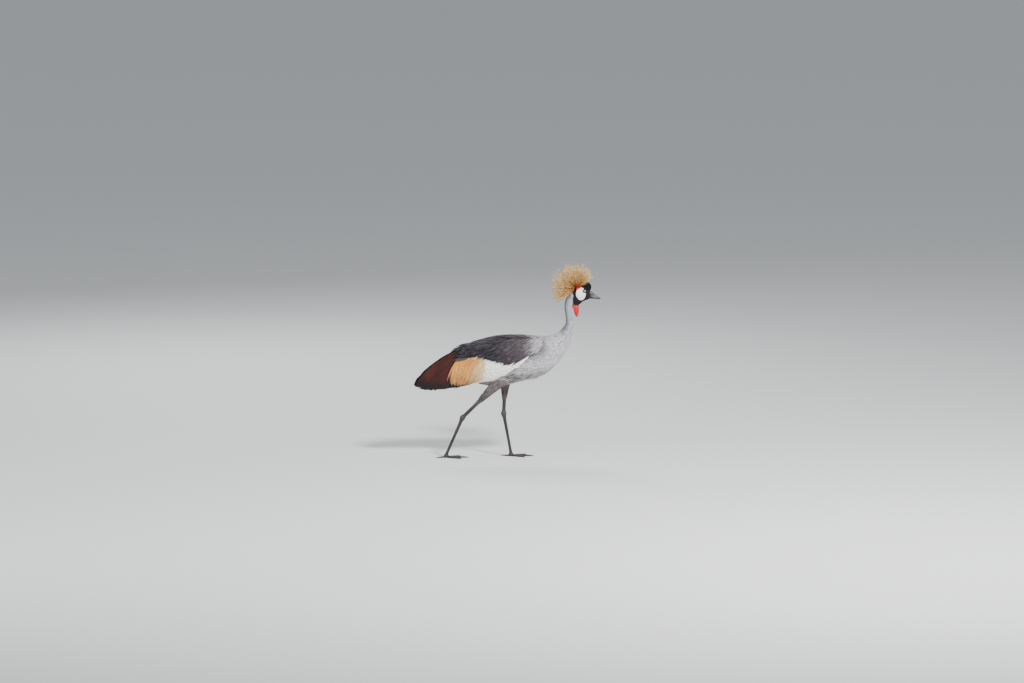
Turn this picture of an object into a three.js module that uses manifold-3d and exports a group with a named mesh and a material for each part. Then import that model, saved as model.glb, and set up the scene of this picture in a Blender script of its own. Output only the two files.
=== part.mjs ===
// A grey crowned crane at life size, walking: the left foot carries it and the right leg trails.
// Millimetres. +X is forward, +Y is the bird's left, +Z is up, and the ground is at Z = 0.

import * as THREE from "three";
import { mergeVertices } from "three/addons/utils/BufferGeometryUtils.js";
import Module from "manifold-3d";

const wasm = await Module();
wasm.setup();

// Driving dimensions
const GAP = 0.35; // free space kept between neighbouring pieces
const VANE_THICKNESS = 0.9;
const TOE_LENGTHS = { middle: 88, inner: 64, outer: 70, hind: 30 };
const CLAW_LENGTH = 16;
const EYE_RADIUS = 7.5;
const WATTLE_LENGTH = 62;
const CREST = { count: 78, root: 0.95, tip: 0.35 };
const SCAPULAR = { length: 105, width: 27 };
const COVERT = { length: 80, width: 25 };
const MANTLE = { length: 100, width: 25 };
const BREAST_PLUME = { length: 104, width: 17 };
const SECONDARY_WIDTH = 31;
const PRIMARY_WIDTH = 25;
const GOLD_PLUME_WIDTH = 19;
const TAIL_FEATHER_WIDTH = 20;

// Outline of the trunk and of the folded feathers behind it: x, top, bottom, half width
const TRUNK = [
  [-440, 374, 346, 5],
  [-400, 424, 331, 13],
  [-350, 460, 332, 21],
  [-300, 492, 338, 30],
  [-250, 519, 350, 41],
  [-200, 543, 364, 54],
  [-150, 561, 368, 69],
  [-100, 576, 359, 80],
  [-50, 588, 356, 87],
  [0, 594, 359, 91],
  [50, 597, 371, 93],
  [100, 598, 385, 93],
  [150, 598, 397, 90],
  [193, 597, 410, 84],
  [238, 596, 446, 72],
  [276, 596, 492, 57],
  [303, 592, 530, 38],
  [318, 582, 560, 14],
];
const RUMP_X = -190;
const BREAST_X = 318;

// Centre line of the neck: x, z, half depth in the side view, half width
const NECK = [
  [228, 548, 52, 50],
  [268, 574, 45, 44],
  [293, 603, 34, 33],
  [310, 632, 27, 26],
  [319, 660, 22, 22],
  [318, 690, 20, 20],
  [313, 718, 19.5, 19],
  [311, 746, 20, 19],
  [318, 772, 23, 20],
  [334, 794, 24, 20],
];

// Outline of the head without its cap: x, top, bottom, half width
const HEAD = [
  [334, 818, 804, 5],
  [342, 838, 778, 17],
  [356, 850, 763, 23.5],
  [370, 853, 765, 25.5],
  [384, 852, 771, 25],
  [396, 846, 776, 22],
  [406, 838, 779, 18],
  [414, 828, 782, 14],
  [420, 815, 786, 11],
];
const EYE = new THREE.Vector3(389, 19, 822);
const THROAT = { at: new THREE.Vector3(345, 0, 767), size: [19.5, 12, 21] };
const CREST_ROOT = new THREE.Vector3(345, 0, 839);
// Bristles by the angle at which they rise: degrees, length
const CREST_LENGTHS = [[46, 100], [62, 118], [90, 125], [120, 132], [150, 134], [180, 120], [208, 98]];
const BILL_BASE = new THREE.Vector3(420, 0, 801);
const BILL_TIP = new THREE.Vector3(468, 0, 783);

// Leg joints in the side view, and how far each stands from the midline
const LEGS = {
  left: { side: 1, knee: [2, 402], hock: [-7, 211], foot: [29, 14], hipOut: 40, footOut: 24 },
  right: { side: -1, knee: [-14, 392], hock: [-209, 199], foot: [-289, 14], hipOut: 40, footOut: 30 },
};

const root = new THREE.Group();

// Smooth curve through the rows of a table, read at x
function smooth(table, x) {
  const last = table.length - 1;
  let i = 0;
  while (i < last - 1 && x > table[i + 1][0]) i++;
  const [a, b] = [table[i], table[i + 1]];
  const span = b[0] - a[0];
  const t = THREE.MathUtils.clamp((x - a[0]) / span, 0, 1);
  const slope = (k, c) => {
    const [lo, hi] = [table[Math.max(k - 1, 0)], table[Math.min(k + 1, last)]];
    return (hi[c] - lo[c]) / (hi[0] - lo[0]);
  };
  return a.slice(1).map((value, n) => {
    const c = n + 1;
    const [m0, m1] = [slope(i, c) * span, slope(i + 1, c) * span];
    const [t2, t3] = [t * t, t * t * t];
    return (2 * t3 - 3 * t2 + 1) * value + (t3 - 2 * t2 + t) * m0
      + (3 * t2 - 2 * t3) * b[c] + (t3 - t2) * m1;
  });
}

// Closed skin over rings of equally many points, each end closed by a fan
function skin(rings) {
  const across = rings[0].length;
  const points = rings.flat();
  const index = [];
  for (let i = 0; i < rings.length - 1; i++) {
    for (let j = 0; j < across; j++) {
      const k = (j + 1) % across;
      const [a, b] = [i * across + j, i * across + k];
      const [c, d] = [a + across, b + across];
      index.push(a, b, c, b, d, c);
    }
  }
  [[0, -1], [rings.length - 1, 1]].forEach(([ring, way]) => {
    const centre = new THREE.Vector3();
    rings[ring].forEach((p) => centre.addScaledVector(p, 1 / across));
    points.push(centre);
    for (let j = 0; j < across; j++) {
      const [a, b] = [ring * across + j, ring * across + (j + 1) % across];
      index.push(...(way > 0 ? [a, b, points.length - 1] : [b, a, points.length - 1]));
    }
  });
  return new THREE.BufferGeometry().setFromPoints(points).setIndex(index);
}

// A three.js geometry as a solid, turned the right way out
function solid(geometry) {
  const bare = geometry.clone();
  bare.deleteAttribute("normal");
  bare.deleteAttribute("uv");
  const merged = mergeVertices(bare, 1e-4);
  const triVerts = new Uint32Array(merged.index.array);
  const vertProperties = new Float32Array(merged.attributes.position.array);
  const made = new wasm.Manifold(new wasm.Mesh({ numProp: 3, vertProperties, triVerts }));
  if (made.volume() > 0) return made;
  for (let i = 0; i < triVerts.length; i += 3) {
    [triVerts[i], triVerts[i + 1]] = [triVerts[i + 1], triVerts[i]];
  }
  return new wasm.Manifold(new wasm.Mesh({ numProp: 3, vertProperties, triVerts }));
}

const join = (parts) => wasm.Manifold.union(parts);
const cut = (whole, ...tools) => tools.reduce((left, tool) => left.subtract(tool), whole);
const volume = (part) => part.volume();
const largest = (whole) => whole.decompose().sort((a, b) => volume(b) - volume(a))[0];

// Keeps what lies beyond a plane, which faces the way it keeps
const beyond = (whole, normal, point) => {
  const n = normal.clone().normalize();
  return whole.trimByPlane(n.toArray(), n.dot(point));
};

// Adds a solid to the model as one named mesh with its own material
function place(name, whole, { color, roughness = 0.8 }) {
  const mesh = largest(whole).getMesh();
  const geometry = new THREE.BufferGeometry()
    .setAttribute("position", new THREE.BufferAttribute(mesh.vertProperties, 3))
    .setIndex(new THREE.BufferAttribute(mesh.triVerts, 1));
  geometry.computeVertexNormals();
  const made = new THREE.Mesh(
    geometry,
    new THREE.MeshStandardMaterial({ color, roughness, metalness: 0 }),
  );
  made.name = name;
  root.add(made);
}

const FINISH = {
  grey: { color: 0xb4b1b4 },
  slate: { color: 0x3a393e },
  white: { color: 0xefeae0 },
  gold: { color: 0xd9a659 },
  chestnut: { color: 0x3b1c15 },
  black: { color: 0x121114 },
  straw: { color: 0xd9b878 },
  velvet: { color: 0x08080a, roughness: 0.95 },
  cheek: { color: 0xf4f0ee, roughness: 0.6 },
  red: { color: 0xd8202c, roughness: 0.5 },
  horn: { color: 0x3c3c40, roughness: 0.45 },
  leg: { color: 0x35323a, roughness: 0.7 },
  eye: { color: 0xc9d2de, roughness: 0.1 },
};

// A point on the trunk's outline at x and angle phi up from its side, pushed out by d
function trunkPoint(x, phi, d, side = 1) {
  const [top, bottom, width] = smooth(TRUNK, x);
  const middle = (top + bottom) / 2;
  return new THREE.Vector3(
    x,
    side * (width + d) * Math.cos(phi),
    middle + ((top - bottom) / 2 + d) * Math.sin(phi),
  );
}

// The angle phi at which the trunk's outline has height z
function phiAt(x, z) {
  const [top, bottom] = smooth(TRUNK, x);
  return Math.asin(THREE.MathUtils.clamp((2 * z - top - bottom) / (top - bottom), -1, 1));
}

const circle = (count, at) => Array.from({ length: count }, (_, j) => at((j / count) * 2 * Math.PI));
const steps = (count, at) => Array.from({ length: count + 1 }, (_, i) => at(i / count));
const mix = THREE.MathUtils.lerp;
const degrees = THREE.MathUtils.degToRad;
const fixed = (value) => () => value;

// Flesh: the trunk, the neck and the head, each grown by g
function trunk(g) {
  const rings = steps(15, (t) => {
    const x = mix(RUMP_X - g, BREAST_X + g, t);
    return circle(22, (angle) => trunkPoint(x, angle, g));
  });
  return solid(skin(rings));
}

// A tube along stations of centre, half depth and half width, bent in a vertical plane
function tube(stations, sides, across = new THREE.Vector3(0, 1, 0)) {
  const rings = stations.map(({ at, deep, wide }, i) => {
    const before = stations[Math.max(i - 1, 0)].at;
    const after = stations[Math.min(i + 1, stations.length - 1)].at;
    const along = after.clone().sub(before).normalize();
    const sideways = across.clone().addScaledVector(along, -across.dot(along)).normalize();
    const up = along.clone().cross(sideways);
    return circle(sides, (angle) => at.clone()
      .addScaledVector(sideways, wide * Math.cos(angle))
      .addScaledVector(up, deep * Math.sin(angle)));
  });
  return solid(skin(rings));
}

function neck(g) {
  const path = new THREE.CatmullRomCurve3(NECK.map(([x, z]) => new THREE.Vector3(x, 0, z)));
  const rows = NECK.map(([, , deep, wide], i) => [i, deep, wide]);
  const stations = steps(15, (t) => {
    const [deep, wide] = smooth(rows, t * (NECK.length - 1));
    return { at: path.getPoint(t), deep: deep + g, wide: wide + g };
  });
  return tube(stations, 14);
}

function head(g) {
  const ends = [HEAD[0][0], HEAD.at(-1)[0]];
  const rings = steps(12, (t) => {
    const x = mix(...ends, t);
    const [top, bottom, width] = smooth(HEAD, x);
    return circle(18, (angle) => new THREE.Vector3(
      x + g * (2 * t - 1),
      (width + g) * Math.cos(angle),
      (top + bottom) / 2 + ((top - bottom) / 2 + g) * Math.sin(angle),
    ));
  });
  return solid(skin(rings));
}

const ball = (at, rx, ry, rz, turns = 16) => solid(
  new THREE.SphereGeometry(1, turns, Math.round(turns * 0.7)).scale(rx, ry, rz)
    .translate(...at.toArray()),
);
const mirrored = (point, side) => new THREE.Vector3(point.x, point.y * side, point.z);
const throat = (g) => ball(THROAT.at, ...THROAT.size.map((r) => r + g), 14);

// The neck is parted from the head and the trunk by thin cuts across it
const NECK_CUTS = [
  { at: new THREE.Vector3(292, 0, 606), way: new THREE.Vector3(0.5, 0, 1) },
  { at: new THREE.Vector3(318, 0, 684), way: new THREE.Vector3(-0.05, 0, 1) },
  { at: new THREE.Vector3(311, 0, 728), way: new THREE.Vector3(-0.12, 0, 1) },
  { at: new THREE.Vector3(322, 0, 772), way: new THREE.Vector3(0.85, 0, 0.52) },
];

const grownFlesh = join([trunk(GAP), neck(GAP), head(GAP), throat(GAP)]);

function fleshNodes() {
  const whole = join([trunk(0), neck(0), head(0), throat(0)]);
  const names = ["torso", "neck_lower", "neck_middle", "neck_upper", "head"];
  return Object.fromEntries(names.map((name, i) => {
    let piece = whole;
    if (i > 0) {
      const { at, way } = NECK_CUTS[i - 1];
      const n = way.clone().normalize();
      piece = beyond(piece, n, at.clone().addScaledVector(n, GAP / 2));
    }
    if (i < NECK_CUTS.length) {
      const { at, way } = NECK_CUTS[i];
      const n = way.clone().normalize().negate();
      piece = beyond(piece, n, at.clone().addScaledVector(n, GAP / 2));
    }
    return [name, largest(piece)];
  }));
}

// Head pieces: eyes in their sockets, the bare cheeks, the velvet cap and the wattle
function headNodes(bare) {
  let skull = bare;
  for (const [name, side] of [["left", 1], ["right", -1]]) {
    const at = mirrored(EYE, side);
    const lidsAt = at.clone().setY(side * (EYE.y - 1));
    const lids = ball(lidsAt, EYE_RADIUS + 2.6, EYE_RADIUS, EYE_RADIUS + 1.8, 11);
    skull = skull.add(lids);
    skull = cut(skull, ball(at, EYE_RADIUS + GAP, EYE_RADIUS + GAP, EYE_RADIUS + GAP, 10));
    place(`eye_${name}`, ball(at, EYE_RADIUS, EYE_RADIUS, EYE_RADIUS, 10), FINISH.eye);
  }
  // The white cheek is an oval let into the side of the head, with the red patch above it
  const oval = (cx, cz, rx, rz, grow, side) => solid(
    new THREE.CylinderGeometry(1, 1, 30, 16).scale(rx + grow, 1, rz + grow)
      .rotateY(0.12).translate(cx, side * 27, cz),
  );
  for (const [name, side] of [["left", 1], ["right", -1]]) {
    const eyeRoom = ball(mirrored(EYE, side), EYE_RADIUS + 5, 20, EYE_RADIUS + 4.4, 10);
    const cheek = (grow) => oval(368, 805, 22, 32, grow, side).subtract(eyeRoom);
    const brow = (grow) => oval(360, 838, 12, 9, grow, side).subtract(eyeRoom);
    place(`cheek_${name}`, skull.intersect(cheek(0)), FINISH.cheek);
    place(`red_patch_${name}`, skull.intersect(brow(0).subtract(cheek(GAP))), FINISH.red);
    skull = cut(skull, cheek(GAP), brow(GAP));
  }
  place("head", skull, FINISH.black);
}

function cap() {
  const dome = ball(new THREE.Vector3(397, 0, 841), 27, 19.5, 26, 14);
  const eyes = [1, -1].map((side) => ball(mirrored(EYE, side), EYE_RADIUS + 3.4, 12, EYE_RADIUS + 2.6, 10));
  const aboveEyes = beyond(dome, new THREE.Vector3(0.25, 0, 1), new THREE.Vector3(400, 0, 826));
  place("forehead_cap", cut(aboveEyes, grownFlesh, ...eyes), FINISH.velvet);
}

// The bill: two horny halves that meet along the mouth line
function bill() {
  const half = (top, bottom, width) => {
    const stations = steps(7, (t) => {
      const x = mix(BILL_BASE.x - 6, BILL_TIP.x, t);
      return [x, top(t), bottom(t), width(t)];
    });
    return solid(skin(stations.map(([x, up, low, wide]) => circle(12, (angle) => {
      const c = Math.cos(angle);
      const s = Math.sin(angle);
      return new THREE.Vector3(x, wide * c, s > 0 ? low + (up - low) * s : low + (low - up) * 0.02 * s);
    }))));
  };
  const mouth = (t) => mix(794, 783.5, t) - 2.5 * Math.sin(Math.PI * t);
  const ridge = [[0, 822], [0.45, 807], [0.8, 794.5], [0.94, 788], [1, 784.8]];
  const culmen = (t) => smooth(ridge, t)[0];
  const gonys = (t) => mix(782.5, 781.4, t) - 2 * Math.sin(Math.PI * t);
  const width = (t) => mix(12, 1.8, t ** 0.8);
  const upper = half(culmen, mouth, width);
  const lower = half(gonys, (t) => mouth(t) - GAP, (t) => width(t) * 0.94);
  const nostril = (side) => solid(
    new THREE.CapsuleGeometry(1.5, 7, 2, 7).rotateZ(Math.PI / 2 + 0.5)
      .translate(431, side * 7.9, 803.5),
  );
  place("bill_upper", cut(upper, grownFlesh, nostril(1), nostril(-1)), FINISH.horn);
  place("bill_lower", cut(lower, grownFlesh), FINISH.horn);
}

// The red throat wattle: two flat lobes that narrow down from one broad root under the throat
function wattle() {
  const outline = [[0, 12, 3], [0.2, 13, 3.6], [0.5, 10.2, 3.8], [0.8, 6.4, 3], [1, 2.2, 1.4]];
  const lobe = (side) => tube(steps(6, (t) => {
    const [deep, wide] = smooth(outline, t);
    return {
      at: new THREE.Vector3(346 + 7.5 * t, side * (1 + 4.5 * Math.sin(Math.PI * t)), 754 - WATTLE_LENGTH * t),
      deep,
      wide,
    };
  }), 10);
  place("wattle", cut(join([lobe(1), lobe(-1)]), grownFlesh), FINISH.red);
}

// A closed three-sided spike over rings of three points
function spike(rings) {
  const points = rings.flat();
  const last = points.length - 3;
  const index = [2, 1, 0, last, last + 1, last + 2];
  for (let i = 0; i < last; i += 3) {
    for (let j = 0; j < 3; j++) {
      const [a, b] = [i + j, i + ((j + 1) % 3)];
      index.push(a, b, b + 3, a, b + 3, a + 3);
    }
  }
  return new THREE.BufferGeometry().setFromPoints(points).setIndex(index);
}

// Repeatable random numbers
function seeded(seed) {
  let state = seed;
  return (spread) => {
    state = (state * 16807) % 2147483647;
    return spread * ((2 * state) / 2147483647 - 1);
  };
}

// Stations along a piece, each with the direction in which it runs there
const courses = (stations) => stations.map(({ at }, i) => {
  const before = stations[Math.max(i - 1, 0)].at;
  const after = stations[Math.min(i + 1, stations.length - 1)].at;
  return after.clone().sub(before).normalize();
});

// A thin vane of four-cornered sections; both its faces are split along the same diagonals
function vane(stations) {
  const along = courses(stations);
  const points = stations.flatMap(({ at, out, width, thick, tilt = 0 }, i) => {
    const across = out.clone().cross(along[i]).normalize();
    const up = along[i].clone().cross(across).normalize();
    return [[1, 1], [-1, 1], [-1, -1], [1, -1]].map(([s, h]) => at.clone()
      .addScaledVector(across, (s * width) / 2)
      .addScaledVector(up, (h * thick + s * tilt * width) / 2));
  });
  const index = [2, 1, 0, 3, 2, 0];
  const end = points.length - 4;
  index.push(end, end + 1, end + 2, end, end + 2, end + 3);
  for (let i = 0; i < end; i += 4) {
    for (let j = 0; j < 4; j++) {
      const k = (j + 1) % 4;
      const [a, b, c, d] = [i + j, i + k, i + 4 + k, i + 4 + j];
      index.push(...(j < 2 ? [a, b, d, b, c, d] : [a, b, c, a, c, d]));
    }
  }
  return solid(new THREE.BufferGeometry().setFromPoints(points).setIndex(index));
}

// A long feather bends at four stations and a short one at three. Its root is sunk in what
// carries it, and it comes out close behind
const LONG = [0, 0.14, 0.55, 1];
const SHORT = [0, 0.2, 1];
const SHAPES = {
  blade: [[0, 0.35], [0.14, 0.7], [0.55, 1], [1, 0.45]],
  lance: [[0, 0.4], [0.14, 0.8], [0.55, 1], [1, 0.12]],
};

// A feather that lies over the trunk. Its middle line is route(t) = [x, z], lift is its height over
// the trunk's outline at each station, and tilt raises its lower edge over the next feather
function feather({ route, lift, width, side, shape = "blade", tilt = 0.12 }) {
  const stations = lift.length === LONG.length ? LONG : SHORT;
  return vane(stations.map((t, i) => {
    const [x, z] = route(t);
    const d = lift[i];
    const [top, bottom] = smooth(TRUNK, x);
    const reach = (z - (top + bottom) / 2) / ((top - bottom) / 2 + d);
    const phi = Math.asin(THREE.MathUtils.clamp(reach, -0.93, 0.98));
    const at = trunkPoint(x, phi, d, side);
    return {
      at,
      out: trunkPoint(x, phi, d + 1, side).sub(at).normalize(),
      width: width * smooth(SHAPES[shape], t)[0],
      thick: VANE_THICKNESS * mix(1.2, 0.8, t),
      tilt: -side * (i ? tilt : 0),
    };
  }));
}

// Straight and bent routes in the side view, through [x, z] points
const straight = (from, to, sag = 0) => (t) => [
  mix(from[0], to[0], t),
  mix(from[1], to[1], t) + sag * Math.sin(Math.PI * t),
];
const bent = (from, over, to) => (t) => [0, 1].map((c) => (
  (1 - t) ** 2 * from[c] + 2 * t * (1 - t) * over[c] + t * t * to[c]
));
const heightAt = (x, phi, d = 0) => trunkPoint(x, phi, d).z;

// A closed pad of plumage between two angles and two heights over the trunk's outline
function pad({ xs, low, high, inner = -3, outer, side = 1, rows = 6, columns = 4 }) {
  const rings = steps(rows, (t) => {
    const x = mix(...xs, t);
    const across = steps(columns, (v) => mix(low(x), high(x), v));
    return [
      ...across.map((phi) => trunkPoint(x, phi, outer(x), side)),
      ...across.reverse().map((phi) => trunkPoint(x, phi, inner, side)),
    ];
  });
  return solid(skin(rings));
}

// Boundaries between the colours of the folded wing, as heights along x
const SLATE_EDGE = [
  [-260, 478], [-240, 486], [-212, 503], [-170, 513], [-109, 499],
  [-47, 483], [-6, 465], [35, 469], [122, 519],
];
const WING_EDGE = [[-160, 372], [-109, 386], [-33, 402], [21, 434], [77, 472], [122, 512]];
const WING_FRONT = 124;
const WING_BACK = -150;
const slateAt = (x) => smooth(SLATE_EDGE, x)[0];
const edgeAt = (x) => smooth(WING_EDGE, x)[0];
const wingEdge = (x) => phiAt(x, edgeAt(x));

// Long loose plumes of the lower breast and flank, row behind row, and the tuft that hangs under
// the breast
function breastPlumes() {
  const random = seeded(11);
  const plumes = [];
  for (const side of [1, -1]) {
    for (let row = 0; row < 3; row++) {
      const x = 272 - 54 * row;
      const edge = phiAt(x - 70, edgeAt(Math.min(x - 70, WING_FRONT - 2))) - degrees(12);
      const top = Math.min(edge, degrees(row < 1 ? 0 : -10));
      for (let n = 0; n < 4; n++) {
        const phi = mix(degrees(-82), top, (n + 0.45 + 0.3 * (row % 2) + random(0.05)) / 4);
        const end = x - BREAST_PLUME.length - random(8);
        plumes.push(feather({
          route: straight([x, heightAt(x, phi)], [end, heightAt(end, phi - degrees(4))]),
          lift: row ? [-4, 2.4, 8.5] : [-4, 2.4, 5, 9],
          width: BREAST_PLUME.width,
          side,
          shape: "lance",
          tilt: 0,
        }));
      }
    }
    for (const n of [0, 1]) {
      plumes.push(vane(SHORT.map((t) => ({
        at: new THREE.Vector3(
          mix(214 - 9 * n, 150 + 8 * n, t),
          side * mix(9 + 14 * n, 5 + 13 * n, t),
          mix(428, 368 + 8 * n, t),
        ),
        out: new THREE.Vector3(-0.4, side * 0.7, -0.6),
        width: 14 * smooth(SHAPES.lance, t)[0],
        thick: VANE_THICKNESS,
      }))));
    }
  }
  return plumes;
}

// The folded wing, from the shoulder back: coverts, scapulars, inner and outer flight feathers
function wing(name, side) {
  const random = seeded(side > 0 ? 21 : 22);
  const ramp = (front, low, high) => (x) => mix(low, high, THREE.MathUtils.clamp((front - x) / 60, 0, 1));

  const coverts = [0, 1].flatMap((row) => steps(3, (v) => {
    const x = mix(98 - 13 * row, -12, v);
    const end = x - COVERT.length;
    const height = (at) => mix(edgeAt(at), slateAt(at), row ? 0.24 : 0.7);
    return feather({
      route: straight([x, height(x)], [end, height(end) - 5 + random(3)]),
      lift: [1.9, 4.8, 9], width: COVERT.width, side, tilt: 0,
    });
  }));
  const covertBase = pad({
    xs: [WING_FRONT, WING_BACK], low: wingEdge, high: fixed(degrees(40)), outer: ramp(WING_FRONT, 1.8, 3.2),
    side,
  });
  place(`wing_coverts_${name}`, cut(join([covertBase, ...coverts]), grownFlesh), FINISH.white);

  const far = (end) => THREE.MathUtils.clamp(-(end + 50) / 180, 0, 1);
  const lower = steps(5, (v) => {
    const end = 54 - 298 * v;
    const x = Math.max(end + SCAPULAR.length, -136);
    const f = far(end);
    return feather({
      route: bent(
        [x, heightAt(x, degrees(50))],
        [x - 40, heightAt(x - 40, degrees(38))],
        [end, slateAt(end) + random(3)],
      ),
      lift: [2, mix(6, 8.5, f), mix(12, 14.5, f), mix(14, 18, f)],
      width: SCAPULAR.width * mix(1.45, 1.1, f),
      side,
      tilt: 0.16,
    });
  });
  const upper = steps(2, (v) => {
    const x = 140 - 214 * v;
    const end = x - SCAPULAR.length - 12;
    const f = far(end);
    const endHeight = mix(slateAt(end), heightAt(end, degrees(50)), 0.7);
    return feather({
      route: straight([x, heightAt(x, degrees(66))], [end, endHeight]),
      lift: [2, mix(8.5, 11, f), mix(19, 23, f)], width: SCAPULAR.width * 1.3, side, tilt: 0,
    });
  });
  const scapularBase = pad({
    xs: [172, WING_BACK], low: fixed(degrees(41)), high: fixed(degrees(73)), outer: ramp(172, 1.8, 3.4),
    side, columns: 3,
  });
  place(`scapulars_${name}`, cut(join([scapularBase, ...lower, ...upper]), grownFlesh), FINISH.slate);

  const secondaries = steps(5, (v) => feather({
    route: bent(
      [-157, mix(452, 540, v)],
      [mix(-250, -300, v), mix(410, 500, v)],
      [mix(-318, -446, v), mix(341, 354, v)],
    ),
    lift: [2.6, 6.9, 9.9, 10.7], width: SECONDARY_WIDTH, side, tilt: 0.2,
  }));
  const secondaryBase = pad({
    xs: [WING_BACK - GAP, RUMP_X + 4], low: fixed(degrees(-9)), high: fixed(degrees(79)), outer: fixed(5),
    side, rows: 1, columns: 6,
  });
  place(`secondaries_${name}`, cut(join([secondaryBase, ...secondaries]), grownFlesh), FINISH.chestnut);

  const primaries = steps(4, (v) => feather({
    route: bent(
      [-158, mix(392, 428, v)],
      [mix(-250, -280, v), mix(362, 388, v)],
      [mix(-330, -412, v), mix(341, 342, v)],
    ),
    lift: [1.3, 2, 1.8], width: PRIMARY_WIDTH, side, tilt: 0.08,
  }));
  const primaryBase = pad({
    xs: [WING_BACK - GAP, RUMP_X + 4], low: fixed(degrees(-58)), high: fixed(degrees(-14)), outer: fixed(2.4),
    side, rows: 1, columns: 3,
  });
  place(`primaries_${name}`, cut(join([primaryBase, ...primaries]), grownFlesh), FINISH.black);

  const plumes = steps(7, (v) => {
    const over = Math.round(7 * v) % 2;
    return feather({
      route: bent(
        [-110, mix(420, 486, v)],
        [mix(-150, -196, v), mix(412, 512, v)],
        [mix(-172, -268, v) + random(5), mix(366, 356, v) + random(6)],
      ),
      lift: [6.4, 10.5 + 2 * over, 16 + 2.8 * over, 17.5 + 3 * over], width: GOLD_PLUME_WIDTH, side,
      shape: "lance", tilt: 0.06,
    });
  });
  const plumeBase = pad({
    xs: [-97, -136], low: fixed(degrees(-27)), high: fixed(degrees(13)), inner: 4.8, outer: ramp(-97, 6.4, 9),
    side, rows: 1, columns: 3,
  });
  place(`wing_plumes_${name}`, join([plumeBase, ...plumes]), FINISH.gold);
}

// The mantle: slate feathers along the back, over the roots of the scapulars
function mantle() {
  const feathers = [];
  for (let row = 0; row < 4; row++) {
    for (const turn of [-10, 0, 10]) {
      const x = 168 - 76 * row - (turn ? 0 : 26);
      const phi = degrees(90 + turn);
      const lift = turn ? [1.7, 4.4, 8] : [1.7, 7, 12];
      feathers.push(vane(SHORT.map((t, i) => {
        const at = trunkPoint(x - MANTLE.length * t, phi, lift[i]);
        return {
          at,
          out: trunkPoint(at.x, phi, lift[i] + 1).sub(at),
          width: MANTLE.width * smooth(SHAPES.blade, t)[0],
          thick: VANE_THICKNESS,
        };
      })));
    }
  }
  const saddle = pad({
    xs: [190, WING_BACK], low: fixed(degrees(74)), high: fixed(degrees(106)),
    outer: (x) => mix(1.8, 3.2, THREE.MathUtils.clamp((190 - x) / 60, 0, 1)),
  });
  place("mantle", cut(join([saddle, ...feathers]), grownFlesh), FINISH.slate);
}

// The tail: a short rump with a stack of flight feathers that the folded wings cover
function tail() {
  const rump = tube(steps(3, (t) => ({
    at: new THREE.Vector3(mix(RUMP_X - 2 * GAP, -262, t), 0, mix(452, 420, t)),
    deep: mix(50, 16, t),
    wide: mix(37, 15, t),
  })), 12);
  const feathers = [];
  for (let pair = 0; pair < 4; pair++) {
    for (const side of pair ? [1, -1] : [1]) {
      const level = 2 * pair + (side > 0 ? 0 : 1);
      feathers.push(vane(steps(2, (t) => ({
        at: new THREE.Vector3(
          mix(-225, -404 + 5 * pair, t),
          side * pair * mix(2, 2.2, t),
          mix(440, 368, t) - 1.35 * level,
        ),
        out: new THREE.Vector3(0, 0, 1),
        width: TAIL_FEATHER_WIDTH * mix(1, 0.75, t),
        thick: VANE_THICKNESS,
      }))));
    }
  }
  place("tail", cut(join([rump, ...feathers]), grownFlesh), FINISH.black);
}

// The crown of stiff straw bristles, which stand out from a small dome at the back of the head
function crest() {
  const random = seeded(5);
  const dome = ball(CREST_ROOT, 20, 12, 16, 10);
  const [first, last] = [CREST_LENGTHS[0][0], CREST_LENGTHS.at(-1)[0]];
  const bristles = Array.from({ length: CREST.count }, (_, n) => {
    const v = (n + 0.5) / CREST.count;
    const back = (n * 0.618034) % 1;
    const rise = mix(first, last, back) + random(2);
    const sweep = degrees(rise);
    const lean = Math.asin(0.84 * (2 * v - 1));
    const way = new THREE.Vector3(
      Math.cos(sweep) * Math.cos(lean), Math.sin(lean), Math.sin(sweep) * Math.cos(lean),
    );
    const foot = CREST_ROOT.clone().add(new THREE.Vector3(mix(9, -9, back), 0, mix(5, -9, back)));
    const length = smooth(CREST_LENGTHS, rise)[0] * (1 + random(0.07));
    const droop = 5 + random(4);
    const sideways = way.clone().cross(new THREE.Vector3(0.3, 0.2, 0.9)).normalize();
    const up = way.clone().cross(sideways);
    const rings = steps(2, (t) => circle(3, (angle) => {
      const r = mix(CREST.root, CREST.tip, t);
      return foot.clone().addScaledVector(way, mix(4, length, t))
        .addScaledVector(sideways, r * Math.cos(angle)).addScaledVector(up, r * Math.sin(angle))
        .add(new THREE.Vector3(0, 0, -droop * t * t));
    }));
    return solid(spike(rings));
  });
  place("crest", cut(join([dome, ...bristles]), grownFlesh), FINISH.straw);
}

// Legs
const footing = (p) => new THREE.Vector3(p.x, p.y, Math.max(p.z, 0));
const toeDirections = { middle: 0, inner: -0.62, outer: 0.6, hind: Math.PI - 0.25 };

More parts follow.
